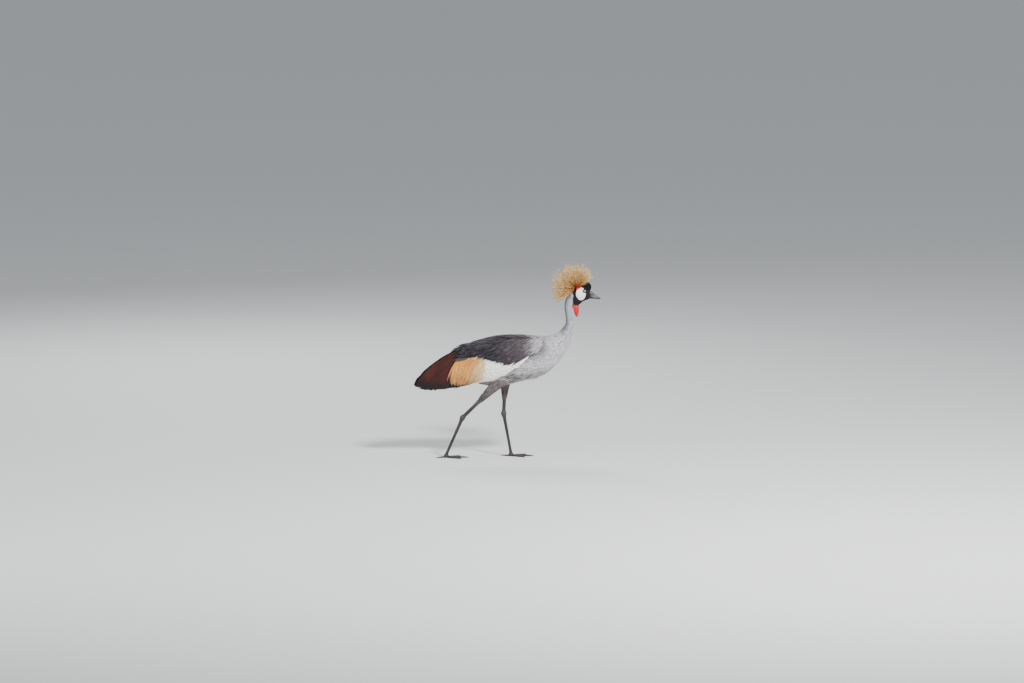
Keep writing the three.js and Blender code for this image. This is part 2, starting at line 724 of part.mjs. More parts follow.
function leg(name, { side, knee, hock, foot, hipOut, footOut }) {
  const kneeAt = new THREE.Vector3(knee[0], side * hipOut, knee[1]);
  const hockAt = new THREE.Vector3(hock[0], side * (footOut + 6), hock[1]);
  const footAt = new THREE.Vector3(foot[0], side * footOut, foot[1]);
  const onTibia = (t) => kneeAt.clone().lerp(hockAt, t);
  const onTarsus = (t) => hockAt.clone().lerp(footAt, t);
  const tibiaLength = kneeAt.distanceTo(hockAt);
  const tarsusLength = hockAt.distanceTo(footAt);
  const gapT = GAP / tibiaLength;
  const gapS = GAP / tarsusLength;
  const feathered = 0.66;
  const thigh = tube(steps(5, (t) => ({
    at: onTibia(t * feathered), deep: mix(36, 12.5, t ** 0.72), wide: mix(30, 11.5, t ** 0.72),
  })), 12);
  place(`thigh_${name}`, cut(thigh, grownFlesh), FINISH.grey);
  place(`shank_${name}`, tube(steps(4, (t) => ({
    at: onTibia(mix(feathered + gapT, 1 - 14 / tibiaLength, t)),
    deep: 9.6 - 0.7 * Math.sin(Math.PI * t), wide: 8.6 - 0.7 * Math.sin(Math.PI * t),
  })), 10), FINISH.leg);
  const hockBall = tube([
    { at: onTibia(1 - 14 / tibiaLength + gapT), deep: 9.7, wide: 8.7 },
    { at: onTibia(1 - 7 / tibiaLength), deep: 12.6, wide: 11 },
    { at: hockAt.clone(), deep: 14, wide: 12 },
    { at: onTarsus(7 / tarsusLength), deep: 11.8, wide: 10.2 },
    { at: onTarsus(15 / tarsusLength), deep: 8.6, wide: 7.5 },
  ], 12);
  place(`hock_${name}`, hockBall, FINISH.leg);
  place(`tarsus_${name}`, tube(steps(5, (t) => ({
    at: onTarsus(mix(15 / tarsusLength + gapS, 1 - 4 / tarsusLength, t)),
    deep: 8.4 - 1.3 * Math.sin(Math.PI * t), wide: 7.3 - 1.1 * Math.sin(Math.PI * t),
  })), 10), FINISH.leg);
  const pad = ball(footAt.clone().setZ(8.5), 13, 12, 9.5, 10);
  const tarsusRoom = tube([
    { at: onTarsus(0.8), deep: 8.6 + GAP, wide: 7.5 + GAP },
    { at: onTarsus(1 - 4 / tarsusLength + gapS), deep: 8.6 + GAP, wide: 7.5 + GAP },
  ], 10);
  const padNode = beyond(pad, new THREE.Vector3(0, 0, 1), new THREE.Vector3()).subtract(tarsusRoom);
  place(`foot_${name}`, padNode, FINISH.leg);
  const padRoom = ball(footAt.clone().setZ(8.5), 13 + GAP, 12 + GAP, 9.5 + GAP, 10);
  const middleRoom = tube([0, TOE_LENGTHS.middle].map((reach) => ({
    at: footAt.clone().setZ(4).add(new THREE.Vector3(6 + reach, 0, 0)), deep: 8, wide: 6.6,
  })), 10);
  for (const [toe, length] of Object.entries(TOE_LENGTHS)) {
    const turn = toeDirections[toe] * side;
    const way = new THREE.Vector3(Math.cos(turn), Math.sin(turn), 0);
    const base = footAt.clone().setZ(0);
    const radius = toe === "hind" ? 4.6 : 5.6;
    const line = (distance, lift) => base.clone().addScaledVector(way, distance).setZ(lift);
    const tubeFor = (from, to, r0, r1, lift0, lift1, count) => {
      const rings = steps(count, (t) => {
        const r = mix(r0, r1, t) * (1 + 0.1 * Math.sin(t * Math.PI * 6));
        const centre = line(mix(from, to, t), mix(lift0, lift1, t));
        const sideways = new THREE.Vector3(-way.y, way.x, 0);
        return circle(6, (angle) => footing(centre.clone()
          .addScaledVector(sideways, r * Math.cos(angle)).setZ(centre.z + r * Math.sin(angle))));
      });
      return solid(skin(rings));
    };
    const end = 10 + length;
    const rooms = [padRoom, tarsusRoom, ...(toe === "middle" ? [] : [middleRoom])];
    const toeTube = tubeFor(6, end, radius, radius * 0.68, radius * 0.75, radius * 0.5, 4);
    place(`toe_${toe}_${name}`, cut(toeTube, ...rooms), FINISH.leg);
    const claw = steps(2, (t) => ({
      at: line(end + GAP + CLAW_LENGTH * t, mix(radius * 0.62, 1.1, t ** 1.6)),
      deep: mix(radius * 0.55, 0.5, t), wide: mix(radius * 0.5, 0.5, t),
    }));
    const clawSolid = tube(claw, 5, new THREE.Vector3(-way.y, way.x, 0));
    const clawOnGround = beyond(clawSolid, new THREE.Vector3(0, 0, 1), new THREE.Vector3());
    place(`claw_${toe}_${name}`, clawOnGround, FINISH.horn);
  }
}

const flesh = fleshNodes();
place("torso", join([flesh.torso, ...breastPlumes()]), FINISH.grey);
place("neck_lower", flesh.neck_lower, FINISH.grey);
place("neck_middle", flesh.neck_middle, FINISH.grey);
place("neck_upper", flesh.neck_upper, FINISH.grey);
headNodes(flesh.head);
cap();
bill();
wattle();
crest();
wing("left", 1);
wing("right", -1);
mantle();
tail();
leg("left", LEGS.left);
leg("right", LEGS.right);

// The origin is on the ground under the middle of the whole bird
const box = new THREE.Box3().setFromObject(root);
const middle = box.getCenter(new THREE.Vector3());
root.position.set(-middle.x, -middle.y, -box.min.z);

export default root;
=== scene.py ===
# A grey crowned crane at life size, walking. Sizes are in millimetres, in the bird's own frame:
# +X is forward, +Y is its left, +Z is up, and the ground is at Z = 0.

import bpy
import numpy as np
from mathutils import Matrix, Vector


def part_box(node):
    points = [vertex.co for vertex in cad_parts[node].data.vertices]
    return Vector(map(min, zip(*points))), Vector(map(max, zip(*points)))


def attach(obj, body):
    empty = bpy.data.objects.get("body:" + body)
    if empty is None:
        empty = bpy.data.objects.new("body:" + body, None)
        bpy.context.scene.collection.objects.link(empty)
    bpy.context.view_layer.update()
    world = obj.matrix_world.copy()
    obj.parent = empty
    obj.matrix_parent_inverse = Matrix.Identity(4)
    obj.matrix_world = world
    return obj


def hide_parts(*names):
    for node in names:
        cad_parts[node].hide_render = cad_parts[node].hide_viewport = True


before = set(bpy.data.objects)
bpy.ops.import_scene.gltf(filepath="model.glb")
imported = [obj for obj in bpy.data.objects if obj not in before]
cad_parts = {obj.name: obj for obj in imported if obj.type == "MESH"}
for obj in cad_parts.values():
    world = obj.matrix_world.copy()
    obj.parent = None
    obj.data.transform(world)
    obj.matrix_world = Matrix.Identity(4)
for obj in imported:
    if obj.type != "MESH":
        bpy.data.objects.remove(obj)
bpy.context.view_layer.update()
MM = 0.001

# Where the bird stands: its right eye is where the solids have it
RIGHT_EYE = np.array([389.0, -19.0, 822.0])
eye_low, eye_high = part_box("eye_right")
HOME = np.array((eye_low + eye_high) / 2) / MM - RIGHT_EYE


# The camera
# It stands far off to the bird's right and a little above it, behind a long lens, so the bird
# is small in a wide frame and hardly foreshortened.
LENS = 200
CAMERA_DISTANCE = 27.9
CAMERA_RISE = np.radians(7)
LOOKS_AT = (np.array([34.0, 0.0, 571.0]) + HOME) * MM

camera = bpy.data.objects.new("camera", bpy.data.cameras.new("camera"))
bpy.context.scene.collection.objects.link(camera)
camera.data.lens = LENS
camera.data.sensor_width = 36
back = Vector((0, -np.cos(CAMERA_RISE), np.sin(CAMERA_RISE)))
camera.location = Vector(LOOKS_AT) + back * CAMERA_DISTANCE
camera.rotation_euler = (-back).to_track_quat("-Z", "Y").to_euler()
camera.data.clip_end = 200
bpy.context.scene.camera = camera


# The skin
# One skin covers the trunk, the neck and the head, and lies under the feathers by their depth.
# It is a tube of rings along the body's axis, which turns up at the breast and forward at the head.
TRUNK = [
    [-440, 374, 346, 5],
    [-400, 424, 331, 13],
    [-350, 460, 332, 21],
    [-300, 492, 338, 30],
    [-250, 519, 350, 41],
    [-200, 543, 364, 54],
    [-150, 561, 368, 69],
    [-100, 576, 359, 80],
    [-50, 588, 356, 87],
    [0, 594, 359, 91],
    [50, 597, 371, 93],
    [100, 598, 385, 93],
    [150, 598, 397, 90],
    [193, 597, 410, 84],
    [238, 596, 446, 72],
    [276, 596, 492, 57],
    [300, 592, 532, 36],
    [311, 584, 556, 14],
]
NECK = [
    [228, 548, 52, 50],
    [268, 574, 45, 44],
    [293, 603, 34, 33],
    [310, 632, 27, 26],
    [319, 660, 22, 22],
    [318, 690, 20, 20],
    [313, 718, 19.5, 19],
    [311, 746, 20, 19],
    [318, 772, 23, 20],
    [334, 794, 24, 20],
]
HEAD = [
    [334, 818, 804, 5],
    [342, 838, 778, 17],
    [356, 850, 763, 23.5],
    [370, 853, 765, 25.5],
    [384, 852, 771, 25],
    [396, 846, 776, 22],
    [406, 838, 779, 18],
    [414, 826, 783, 13],
    [420, 811, 789, 8],
]
THROAT_MIDDLE = np.array([345.0, 0.0, 767.0])
THROAT_SIZE = np.array([19.5, 12.0, 21.0])
# Place along the axis, then the ring's middle and the way it faces
AXIS = [
    [0, -188, 453, 0],
    [205, 17, 485, 0],
    [390, 202, 516, 0],
    [430, 238, 530, 15],
    [490, 285, 573, 45],
    [545, 307, 622, 80],
    [575, 312, 652, 90],
    [650, 313, 735, 90],
    [682, 315, 765, 82],
    [715, 331, 791, 48],
    [745, 360, 806, 8],
    [760, 375, 807, 0],
    [806, 421, 803, 0],
]
# Depth of the plumage over the skin along the axis
PLUMAGE_DEPTH = [[0, 7], [420, 7], [520, 5], [580, 3.6], [670, 3.2], [715, 1.6], [745, 0.9], [806, 0.7]]
BLEND = 7
SKIN_ROWS = 321
SKIN_COLUMNS = 144


def smooth(table, x):
    """Cubic curve through the rows of a table, read at x. The first column is the place."""
    table = np.asarray(table, float)
    place, values = table[:, 0], table[:, 1:]
    before = np.maximum(np.arange(len(place)) - 1, 0)
    after = np.minimum(np.arange(len(place)) + 1, len(place) - 1)
    slope = (values[after] - values[before]) / (place[after] - place[before])[:, None]
    i = np.clip(np.searchsorted(place, x, side="right") - 1, 0, len(place) - 2)
    span = (place[i + 1] - place[i])[..., None]
    t = np.clip((x - place[i])[..., None] / span, 0, 1)
    made = (
        (2 * t**3 - 3 * t**2 + 1) * values[i]
        + (t**3 - 2 * t**2 + t) * span * slope[i]
        + (3 * t**2 - 2 * t**3) * values[i + 1]
        + (t**3 - t**2) * span * slope[i + 1]
    )
    return np.moveaxis(made, -1, 0)


def unit(v):
    """Directions of length one: each vector over its own length."""
    return v / np.maximum(np.linalg.norm(v, axis=-1, keepdims=True), 1e-9)


def step(low, high, x):
    """A smooth rise from 0 at low to 1 at high."""
    t = np.clip((x - low) / (high - low), 0, 1)
    return t * t * (3 - 2 * t)


def outside_tube(p, table):
    """How far p is outside an upright-ringed body: its elliptic radius less one, times the ring's size."""
    x = p[..., 0]
    top, bottom, wide = smooth(table, x)
    deep = (top - bottom) / 2
    radius = np.hypot(p[..., 1] / wide, (p[..., 2] - (top + bottom) / 2) / deep)
    gap = (radius - 1) * np.sqrt(wide * deep)
    beyond = np.maximum(np.maximum(x - table[-1][0], table[0][0] - x), 0)
    return np.minimum(gap, 0) + np.hypot(np.maximum(gap, 0), beyond)


def neck_line(count):
    """The neck's centre line, half depth and half width, at evenly spaced places between its rows."""
    rows = np.column_stack([np.arange(len(NECK)), np.asarray(NECK, float)])
    x, z, deep, wide = smooth(rows, np.linspace(0, len(NECK) - 1, count))
    return x, z, deep, wide


def outside_neck(p):
    """The same for the neck, whose rings stand square to its bent centre line."""
    x, z, deep, wide = neck_line(70)
    along = unit(np.stack([np.gradient(x), np.gradient(z)], -1))
    away = (p[..., None, 0] - x) ** 2 + (p[..., None, 2] - z) ** 2
    i = away.argmin(-1)
    dx, dz = p[..., 0] - x[i], p[..., 2] - z[i]
    run = dx * along[i, 0] + dz * along[i, 1]
    rise = dz * along[i, 0] - dx * along[i, 1]
    gap = (np.hypot(p[..., 1] / wide[i], rise / deep[i]) - 1) * np.sqrt(wide[i] * deep[i])
    ends = np.where((i == 0) | (i == len(x) - 1), np.abs(run), 0)
    return np.minimum(gap, 0) + np.hypot(np.maximum(gap, 0), ends)


def outside_throat(p):
    """The same for the swelling of the throat, an ellipsoid under the chin."""
    return (np.linalg.norm((p - THROAT_MIDDLE) / THROAT_SIZE, axis=-1) - 1) * THROAT_SIZE.mean()


def outside_body(p):
    """The soft minimum of them all, which rounds the corners between trunk, neck, throat and head."""
    gaps = np.stack([outside_tube(p, TRUNK), outside_neck(p), outside_tube(p, HEAD), outside_throat(p)])
    least = gaps.min(0)
    return least - BLEND * np.log(np.exp(-(gaps - least) / BLEND).sum(0))


def axis_frame(s):
    """Middle, side and back directions of the ring at s."""
    x, z, turn = smooth(AXIS, s)
    turn = np.radians(turn)
    none = np.zeros_like(turn)
    middle = np.stack([x, none, z], -1)
    side = np.stack([none, none + 1, none], -1)
    spine = np.stack([-np.sin(turn), none, np.cos(turn)], -1)
    return middle, side, spine


def cast_rings(s, theta):
    """The point where the ray from the ring's middle, at angle theta, leaves the body less its plumage."""
    middle, side, spine = axis_frame(s)
    ray = np.cos(theta)[..., None] * side + np.sin(theta)[..., None] * spine
    depth = smooth(PLUMAGE_DEPTH, s)[0]
    low = np.zeros(s.shape)
    high = np.full(s.shape, 170.0)
    found = np.zeros(s.shape, bool)
    for reach in np.arange(4, 170, 4.0):
        out = outside_body(middle + reach * ray) + depth > 0
        high = np.where(out & ~found, reach, high)
        low = np.where(~out & ~found, reach, low)
        found |= out
        if found.all():
            break
    for _ in range(9):
        half = (low + high) / 2
        out = outside_body(middle + half[..., None] * ray) + depth > 0
        low, high = np.where(out, low, half), np.where(out, half, high)
    return middle + high[..., None] * ray


skin_s = np.linspace(0, AXIS[-1][0], SKIN_ROWS)
skin_theta = np.linspace(0, 2 * np.pi, SKIN_COLUMNS, endpoint=False)
skin_grid = cast_rings(*np.meshgrid(skin_s, skin_theta, indexing="ij"))
skin_round = np.roll(skin_grid, -1, 1) - np.roll(skin_grid, 1, 1)
skin_normal = unit(np.cross(skin_round, np.gradient(skin_grid, axis=0)))


def read_skin(grid, s, theta):
    """A value between the points of a grid on the skin, mixed in both directions."""
    row = np.clip(s / skin_s[1], 0, SKIN_ROWS - 1.001)
    column = np.mod(theta / skin_theta[1], SKIN_COLUMNS)
    i, j = row.astype(int), column.astype(int) % SKIN_COLUMNS
    a, b = (row - i)[..., None], (column - np.floor(column))[..., None]
    k = (j + 1) % SKIN_COLUMNS
    here = (1 - b) * grid[i, j] + b * grid[i, k]
    ahead = (1 - b) * grid[i + 1, j] + b * grid[i + 1, k]
    return (1 - a) * here + a * ahead


def ring_grid(down, count):
    """Every pair of a place down a tube and one of count even angles round it, as two grids."""
    return np.meshgrid(down, np.linspace(0, 2 * np.pi, count, endpoint=False), indexing="ij")


def weave(rows, columns, ring=True):
    """Quads between the neighbours of a grid of points. In a ring the last column meets the first."""
    index = np.arange(rows * columns).reshape(rows, columns)
    here, beside = (index, np.roll(index, -1, 1)) if ring else (index[:, :-1], index[:, 1:])
    return np.stack([here[:-1], beside[:-1], beside[1:], here[1:]], -1).reshape(-1, 4)


def close_end(row, centre, flip):
    """Triangles from a ring of points to one point at its middle."""
    fan = np.stack([row, np.roll(row, -1), np.full(len(row), centre)], -1)
    return fan[:, ::-1] if flip else fan


def tube_shape(rings):
    """Rings of points (rows, columns, 3) as a closed tube with both ends fanned: points and faces. Each
    triangle's first corner times the cross of the other two sums to six volumes, and the faces are
    turned round where that is below nothing, so that they point outwards."""
    rows, columns = rings.shape[:2]
    points = np.concatenate([rings.reshape(-1, 3), rings[0].mean(0)[None], rings[-1].mean(0)[None]])
    index = np.arange(rows * columns).reshape(rows, columns)
    faces = [
        weave(rows, columns),
        close_end(index[0], rows * columns, True),
        close_end(index[-1], rows * columns + 1, False),
    ]
    six_volumes = sum(
        (points[f[:, 0]] * np.cross(points[f[:, k]], points[f[:, k + 1]])).sum()
        for f in faces
        for k in range(1, f.shape[1] - 1)
    )
    return points, faces if six_volumes > 0 else [f[:, ::-1] for f in faces]


def join_shapes(*shapes):
    """Several shapes as one: their points in a row, and their faces counted on."""
    points, faces, first = [], [], 0
    for made, corners in shapes:
        points.append(made)
        faces += [c + first for c in corners]
        first += len(made)
    return np.concatenate(points), faces


def paint(red, green, blue):
    """A colour as it looks on a screen, from 0 to 255, turned into light."""
    c = np.array([red, green, blue]) / 255
    return np.where(c < 0.04045, c / 12.92, ((c + 0.055) / 1.055) ** 2.4)


def blend(a, b, share):
    """Two colours mixed: a plus that share of the way to b."""
    return a + (b - a) * np.asarray(share)[..., None]


def add_piece(name, shape, finish, slot, stands_for, tint=None, **maps):
    """Makes an object of a shape, rides it on the body, and writes its colours and maps."""
    points, faces = shape
    mesh = bpy.data.meshes.new(name)
    mesh.vertices.add(len(points))
    mesh.vertices.foreach_set("co", ((points + HOME) * MM).astype(np.float32).ravel())
    corners = np.concatenate([f.ravel() for f in faces]).astype(np.int32)
    sides = np.concatenate([np.full(len(f), f.shape[1]) for f in faces])
    mesh.loops.add(len(corners))
    mesh.polygons.add(len(sides))
    starts = np.concatenate([[0], np.cumsum(sides)[:-1]]).astype(np.int32)
    mesh.polygons.foreach_set("loop_start", starts)
    mesh.polygons.foreach_set("vertices", corners)
    mesh.update(calc_edges=True)
    mesh.shade_smooth()
    if tint is not None:
        layer = mesh.color_attributes.new("Tint", "FLOAT_COLOR", "POINT")
        rgba = np.concatenate([tint, np.ones((len(tint), 1))], 1)
        layer.data.foreach_set("color", rgba.astype(np.float32).ravel())
    for label, uv in maps.items():
        layer = mesh.uv_layers.new(name=label)
        layer.data.foreach_set("uv", uv[corners].astype(np.float32).ravel())
    mesh.materials.append(finish)
    piece = bpy.data.objects.new(name, mesh)
    bpy.context.scene.collection.objects.link(piece)
    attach(piece, "root")
    if stands_for:
        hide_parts(*stands_for)
    return piece


NECK_PALE = paint(204, 206, 214)
# A darker bluish grey, painted on the back of the neck as shade
NECK_BACK_SHADE = paint(104, 112, 132)
BREAST_GREY = paint(212, 208, 213)
SHOULDER_BROWN = paint(80, 70, 74)
SLATE = paint(24, 21, 27)
# A dark grey painted as shade under the belly and among the flank plumes; the front rump feathers also wear
# it
SHADE_DARK_GREY = paint(34, 29, 30)
FACE_BLACK = paint(17, 16, 19)
CRIMSON = paint(206, 4, 16)


def body_tint(p):
    """The coat's colour at a place: grey neck with painted shade on its back, pale breast, browner and then
    slate towards the mantle, painted shade under the belly, and black on the head and throat."""
    x, z = p[..., 0], p[..., 2]
    top, bottom, _ = smooth(TRUNK, x)
    height = (z - bottom) / (top - bottom)
    neck_x = np.interp(z, [row[1] for row in NECK], [row[0] for row in NECK])
    # Painted shade: the back of the neck is darkened
    nape_shade = step(2, -20, x - neck_x) * step(590, 640, z)
    colour = blend(BREAST_GREY, NECK_PALE, step(560, 660, z))
    colour = blend(colour, NECK_BACK_SHADE, 0.85 * nape_shade)
    mantle = step(238, 150, x) * step(0.35, 0.75, height) * step(620, 600, z)
    colour = blend(colour, SHOULDER_BROWN, mantle)
    colour = blend(colour, SLATE, step(175, 95, x) * step(0.4, 0.8, height) * step(620, 600, z))
    # Painted shade: darker under the belly
    belly_shade = step(160, 20, x) * step(0.42, 0.1, height) * step(640, 600, z)
    colour = blend(colour, SHADE_DARK_GREY, 0.75 * belly_shade)
    face_line = np.interp(z, [740, 752, 765, 784, 800, 815, 850], [345, 334, 331, 331, 334, 329, 327])
    throat_line = 757 - 0.4 * (x - 329)
    face = step(-2.5, 2.5, x - face_line) * step(-4, 3, z - throat_line)
    red = step(326, 331, x) * step(738, 743, z) * step(5, 0, z - throat_line) * (1 - face)
    return blend(blend(colour, CRIMSON, red), FACE_BLACK, face)


def shader_group(name, inputs, outputs):
    """An empty group of shader nodes with named sockets, and its two end nodes."""
    group = bpy.data.node_groups.new(name, "ShaderNodeTree")
    for label, kind, value in inputs:
        socket = group.interface.new_socket(label, in_out="INPUT", socket_type="NodeSocket" + kind)
        if value is not None:
            socket.default_value = value
    for label, kind in outputs:
        group.interface.new_socket(label, in_out="OUTPUT", socket_type="NodeSocket" + kind)
    return group, group.nodes.new("NodeGroupInput"), group.nodes.new("NodeGroupOutput")


def wire(tree, kind, links=(), **values):
    """A node of that kind in a tree, with its settings, its values and the links into it."""
    node = tree.nodes.new(kind)
    for key, value in values.items():
        if hasattr(node, key):
            setattr(node, key, value)
    for socket, source in dict(links).items():
        if isinstance(source, bpy.types.NodeSocket):
            tree.links.new(source, node.inputs[socket])
        else:
            node.inputs[socket].default_value = source
    return node


def sums(tree, operation, a, b=0.0, c=0.0):
    """One step of arithmetic between values in a tree of shader nodes."""
    return wire(tree, "ShaderNodeMath", {0: a, 1: b, 2: c}, operation=operation).outputs[0]


def new_finish(name, roughness):
    """A material with its tree of nodes and its surface shader, at that roughness."""
    made = bpy.data.materials.new(name)
    made.use_nodes = True
    shader = made.node_tree.nodes["Principled BSDF"]
    shader.inputs["Roughness"].default_value = roughness
    return made, made.node_tree, shader


def own_tint(tree):
    """The colour that the piece carries at its points."""
    return wire(tree, "ShaderNodeAttribute", attribute_name="Tint").outputs["Color"]


def tint_times(tree, tone):
    """The piece's own colour times a tone."""
    links = {0: 1.0, 6: own_tint(tree), 7: tone}
    return wire(tree, "ShaderNodeMix", links, data_type="RGBA", blend_type="MULTIPLY").outputs[2]


def relief(tree, shader, strength, distance, height):
    """Bumps of that height and distance in the shader's normal."""
    bump = wire(tree, "ShaderNodeBump", {"Strength": strength, "Distance": distance, "Height": height})
    tree.links.new(bump.outputs[0], shader.inputs["Normal"])


# The barbs of a feather as fine slanting lines on both sides of its shaft, read from its own map
barbs, given, result = shader_group(
    "barbs",
    [
        ("Map", "Vector", None),
        ("Per Centimetre", "Float", 9.0),
        ("Slant", "Float", 1.2),
        ("Ragged", "Float", 0.5),
    ],
    [("Height", "Float"), ("Shaft", "Float")],
)
parts = wire(barbs, "ShaderNodeSeparateXYZ", {0: given.outputs["Map"]})
away = sums(barbs, "ABSOLUTE", parts.outputs[0])
waver = wire(barbs, "ShaderNodeTexNoise", {"Vector": given.outputs["Map"], "Scale": 3.0, "Detail": 3.0})
shift = sums(barbs, "MULTIPLY", sums(barbs, "SUBTRACT", waver.outputs[0], 0.5), given.outputs["Ragged"])
slanted = sums(barbs, "MULTIPLY_ADD", away, given.outputs["Slant"], parts.outputs[1])
phase = sums(barbs, "MULTIPLY", sums(barbs, "SUBTRACT", slanted, shift), given.outputs["Per Centimetre"])
ridge = sums(barbs, "SINE", sums(barbs, "MULTIPLY", phase, 2 * np.pi))
barbs.links.new(sums(barbs, "MULTIPLY_ADD", ridge, 0.5, 0.5), result.inputs["Height"])
shaft = wire(barbs, "ShaderNodeMapRange", {0: away, 1: 0.02, 2: 0.07, 3: 1.0, 4: 0.0})
barbs.links.new(shaft.outputs[0], result.inputs["Shaft"])


def plumage(name, per_centimetre, roughness, sheen, contrast, shaft_tint=None, ragged=0.5, depth=0.3):
    """Feather finish: the piece's own tint, lighter and darker along its barbs, with a ridge for each."""
    made, tree, shader = new_finish(name, roughness)
    shader.inputs["Sheen Weight"].default_value = sheen
    shader.inputs["Specular IOR Level"].default_value = 0.25
    lie = wire(tree, "ShaderNodeUVMap", uv_map="Vane")
    group = wire(tree, "ShaderNodeGroup", node_tree=barbs)
    tree.links.new(lie.outputs[0], group.inputs["Map"])
    group.inputs["Per Centimetre"].default_value = per_centimetre
    group.inputs["Ragged"].default_value = ragged
    cloud = wire(tree, "ShaderNodeTexNoise", {"Vector": lie.outputs[0], "Scale": 0.8, "Detail": 4.0})
    tone = sums(tree, "MULTIPLY_ADD", group.outputs["Height"], contrast, 1 - contrast / 2)
    tone = sums(tree, "MULTIPLY", tone, sums(tree, "MULTIPLY_ADD", cloud.outputs[0], 0.5, 0.75))
    colour = tint_times(tree, tone)
    if shaft_tint is not None:
        share = sums(tree, "MULTIPLY", group.outputs["Shaft"], 0.7)
        links = {0: share, 6: colour, 7: (*shaft_tint, 1)}
        colour = wire(tree, "ShaderNodeMix", links, data_type="RGBA").outputs[2]
    tree.links.new(colour, shader.inputs["Base Color"])
    relief(tree, shader, depth, 0.0004, group.outputs["Height"])
    return made


# The skin's finish: the coat's own markings, with the painted shade they carry, and a fine down in the bump
skin_finish, tree, shader = new_finish("skin_and_down", 0.85)
where = wire(tree, "ShaderNodeTexCoord").outputs["Object"]
down = wire(tree, "ShaderNodeTexNoise", {"Vector": where, "Scale": 900.0, "Detail": 5.0}).outputs[0]
tone = sums(tree, "MULTIPLY_ADD", down, 0.7, 0.6)
tree.links.new(tint_times(tree, tone), shader.inputs["Base Color"])
relief(tree, shader, 0.5, 0.0006, down)

EYE_RADIUS = 7.5
EYE_MIDDLES = [RIGHT_EYE * [1, side, 1] for side in (1, -1)]


def sink_sockets(rings):
    """Presses the skin in round each eye, so that the ball sits in a socket."""
    for eye in EYE_MIDDLES:
        away = np.hypot(rings[..., 0] - eye[0], rings[..., 2] - eye[2])
        same = np.sign(rings[..., 1]) == np.sign(eye[1])
        rings = rings.copy()
        rings[..., 1] -= np.sign(eye[1]) * 7 * step(8.2, 5.5, away) * same
    return rings


LID_OPENING = [6.3, 5.2]
LID_REACH = [11.5, 10.2]


def head_side(x, z, d, side):
    """The point of the head's outline at x and z, pushed out by d, on one side."""
    top, bottom, wide = smooth(HEAD, x)
    deep = (top - bottom) / 2 + d
    lift = np.clip((z - (top + bottom) / 2) / deep, -0.98, 0.98)
    return np.stack([x, side * (wide + d) * np.sqrt(1 - lift**2), z + 0 * x], -1)


def lids(eye):
    """A ring of lid: from inside the ball's rim it comes out over the ball, swells, and dies away in
    the skin."""
    side = np.sign(eye[1])
    turn = np.linspace(0, 2 * np.pi, 72, endpoint=False)[None]
    v = np.linspace(0, 1, 15)[:, None]
    share = np.maximum(0, (v - 0.25) / 0.75)
    wide = LID_OPENING[0] + (LID_REACH[0] - LID_OPENING[0]) * share**1.2
    tall = LID_OPENING[1] + (LID_REACH[1] - LID_OPENING[1]) * share**1.2
    corner = 1 + 0.16 * np.cos(2 * turn) ** 3 * (1 - share)
    dx, dz = wide * corner * np.cos(turn), tall * np.sin(turn)
    on_ball = np.sqrt(np.maximum((EYE_RADIUS + 0.5) ** 2 - dx**2 - dz**2, 4))
    ball_y = abs(eye[1]) + on_ball - 2.2 * np.maximum(0, 0.25 - v) / 0.25
    skin_y = np.abs(head_side(eye[0] + dx, eye[2] + dz, -1.4, side)[..., 1])
    swell = 1.1 * np.sin(np.pi * share**0.7) + 0.35 * np.sin(5 * np.pi * share) * share * (1 - share) * 4
    y = ball_y + (skin_y - ball_y) * step(0.1, 0.9, share) + swell
    rings = np.stack([eye[0] + dx, side * y, eye[2] + dz], -1)
    points, faces = rings.reshape(-1, 3), weave(*rings.shape[:2])
    return points, [faces if side > 0 else faces[:, ::-1]]


body_shape = tube_shape(sink_sockets(skin_grid))
skin_shape = join_shapes(body_shape, *[lids(eye) for eye in EYE_MIDDLES])
tint = body_tint(skin_shape[0])
tint[len(body_shape[0]):] = paint(44, 42, 47)
add_piece(
    "skin", skin_shape, skin_finish, "grey_plumage",
    ["torso", "neck_lower", "neck_middle", "neck_upper", "head"], tint,
)


# Body feathers
# Small contour feathers cover the body, each rooted in the skin and lying back over the next. They
# are hair-like on the neck, soft and round on the breast, and long loose plumes under it.
TRUNK_SPAN = 760


BAKE_PATCH = 0.003


def feather_maps(spine, half, side):
    """A feather's map in centimetres across and along it, and its small patch of the bake map."""
    run = np.cumsum(np.linalg.norm(np.diff(spine, axis=1, prepend=spine[:, :1]), axis=-1), 1)
    vane = np.stack(np.broadcast_arrays(half * side / 10, run[..., None] / 10), -1)
    t = np.linspace(0, 1, spine.shape[1])[None, :, None]
    patch = np.stack(np.broadcast_arrays((side + 1) / 2 + 0 * half, t), -1) * BAKE_PATCH
    return {"vane": vane, "patch": patch}


def strands(spine, out, half, thick, cup=0.0):
    """Closed tapering vanes of four corners: an edge on each side, a crown above and a keel below."""
    along = unit(np.gradient(spine, axis=1))
    across = unit(np.cross(out, along))
    up = np.cross(along, across)
    half, thick = half[..., None], thick[..., None]
    drop = up * half * cup
    corners = np.stack([across * half - drop, up * thick, -across * half - drop, -up * thick * 0.4], 2)
    count, stations = spine.shape[:2]
    index = np.arange(count * stations * 4).reshape(count, stations, 4)
    here, there = index[:, :-1], index[:, 1:]
    sides = np.stack([here, np.roll(here, -1, 2), np.roll(there, -1, 2), there], -1).reshape(-1, 4)
    made = {"points": spine[:, :, None] + corners, "faces": [sides, index[:, 0, ::-1], index[:, -1]]}
    return made | feather_maps(spine, half, np.array([1, 0, -1, 0.0]))


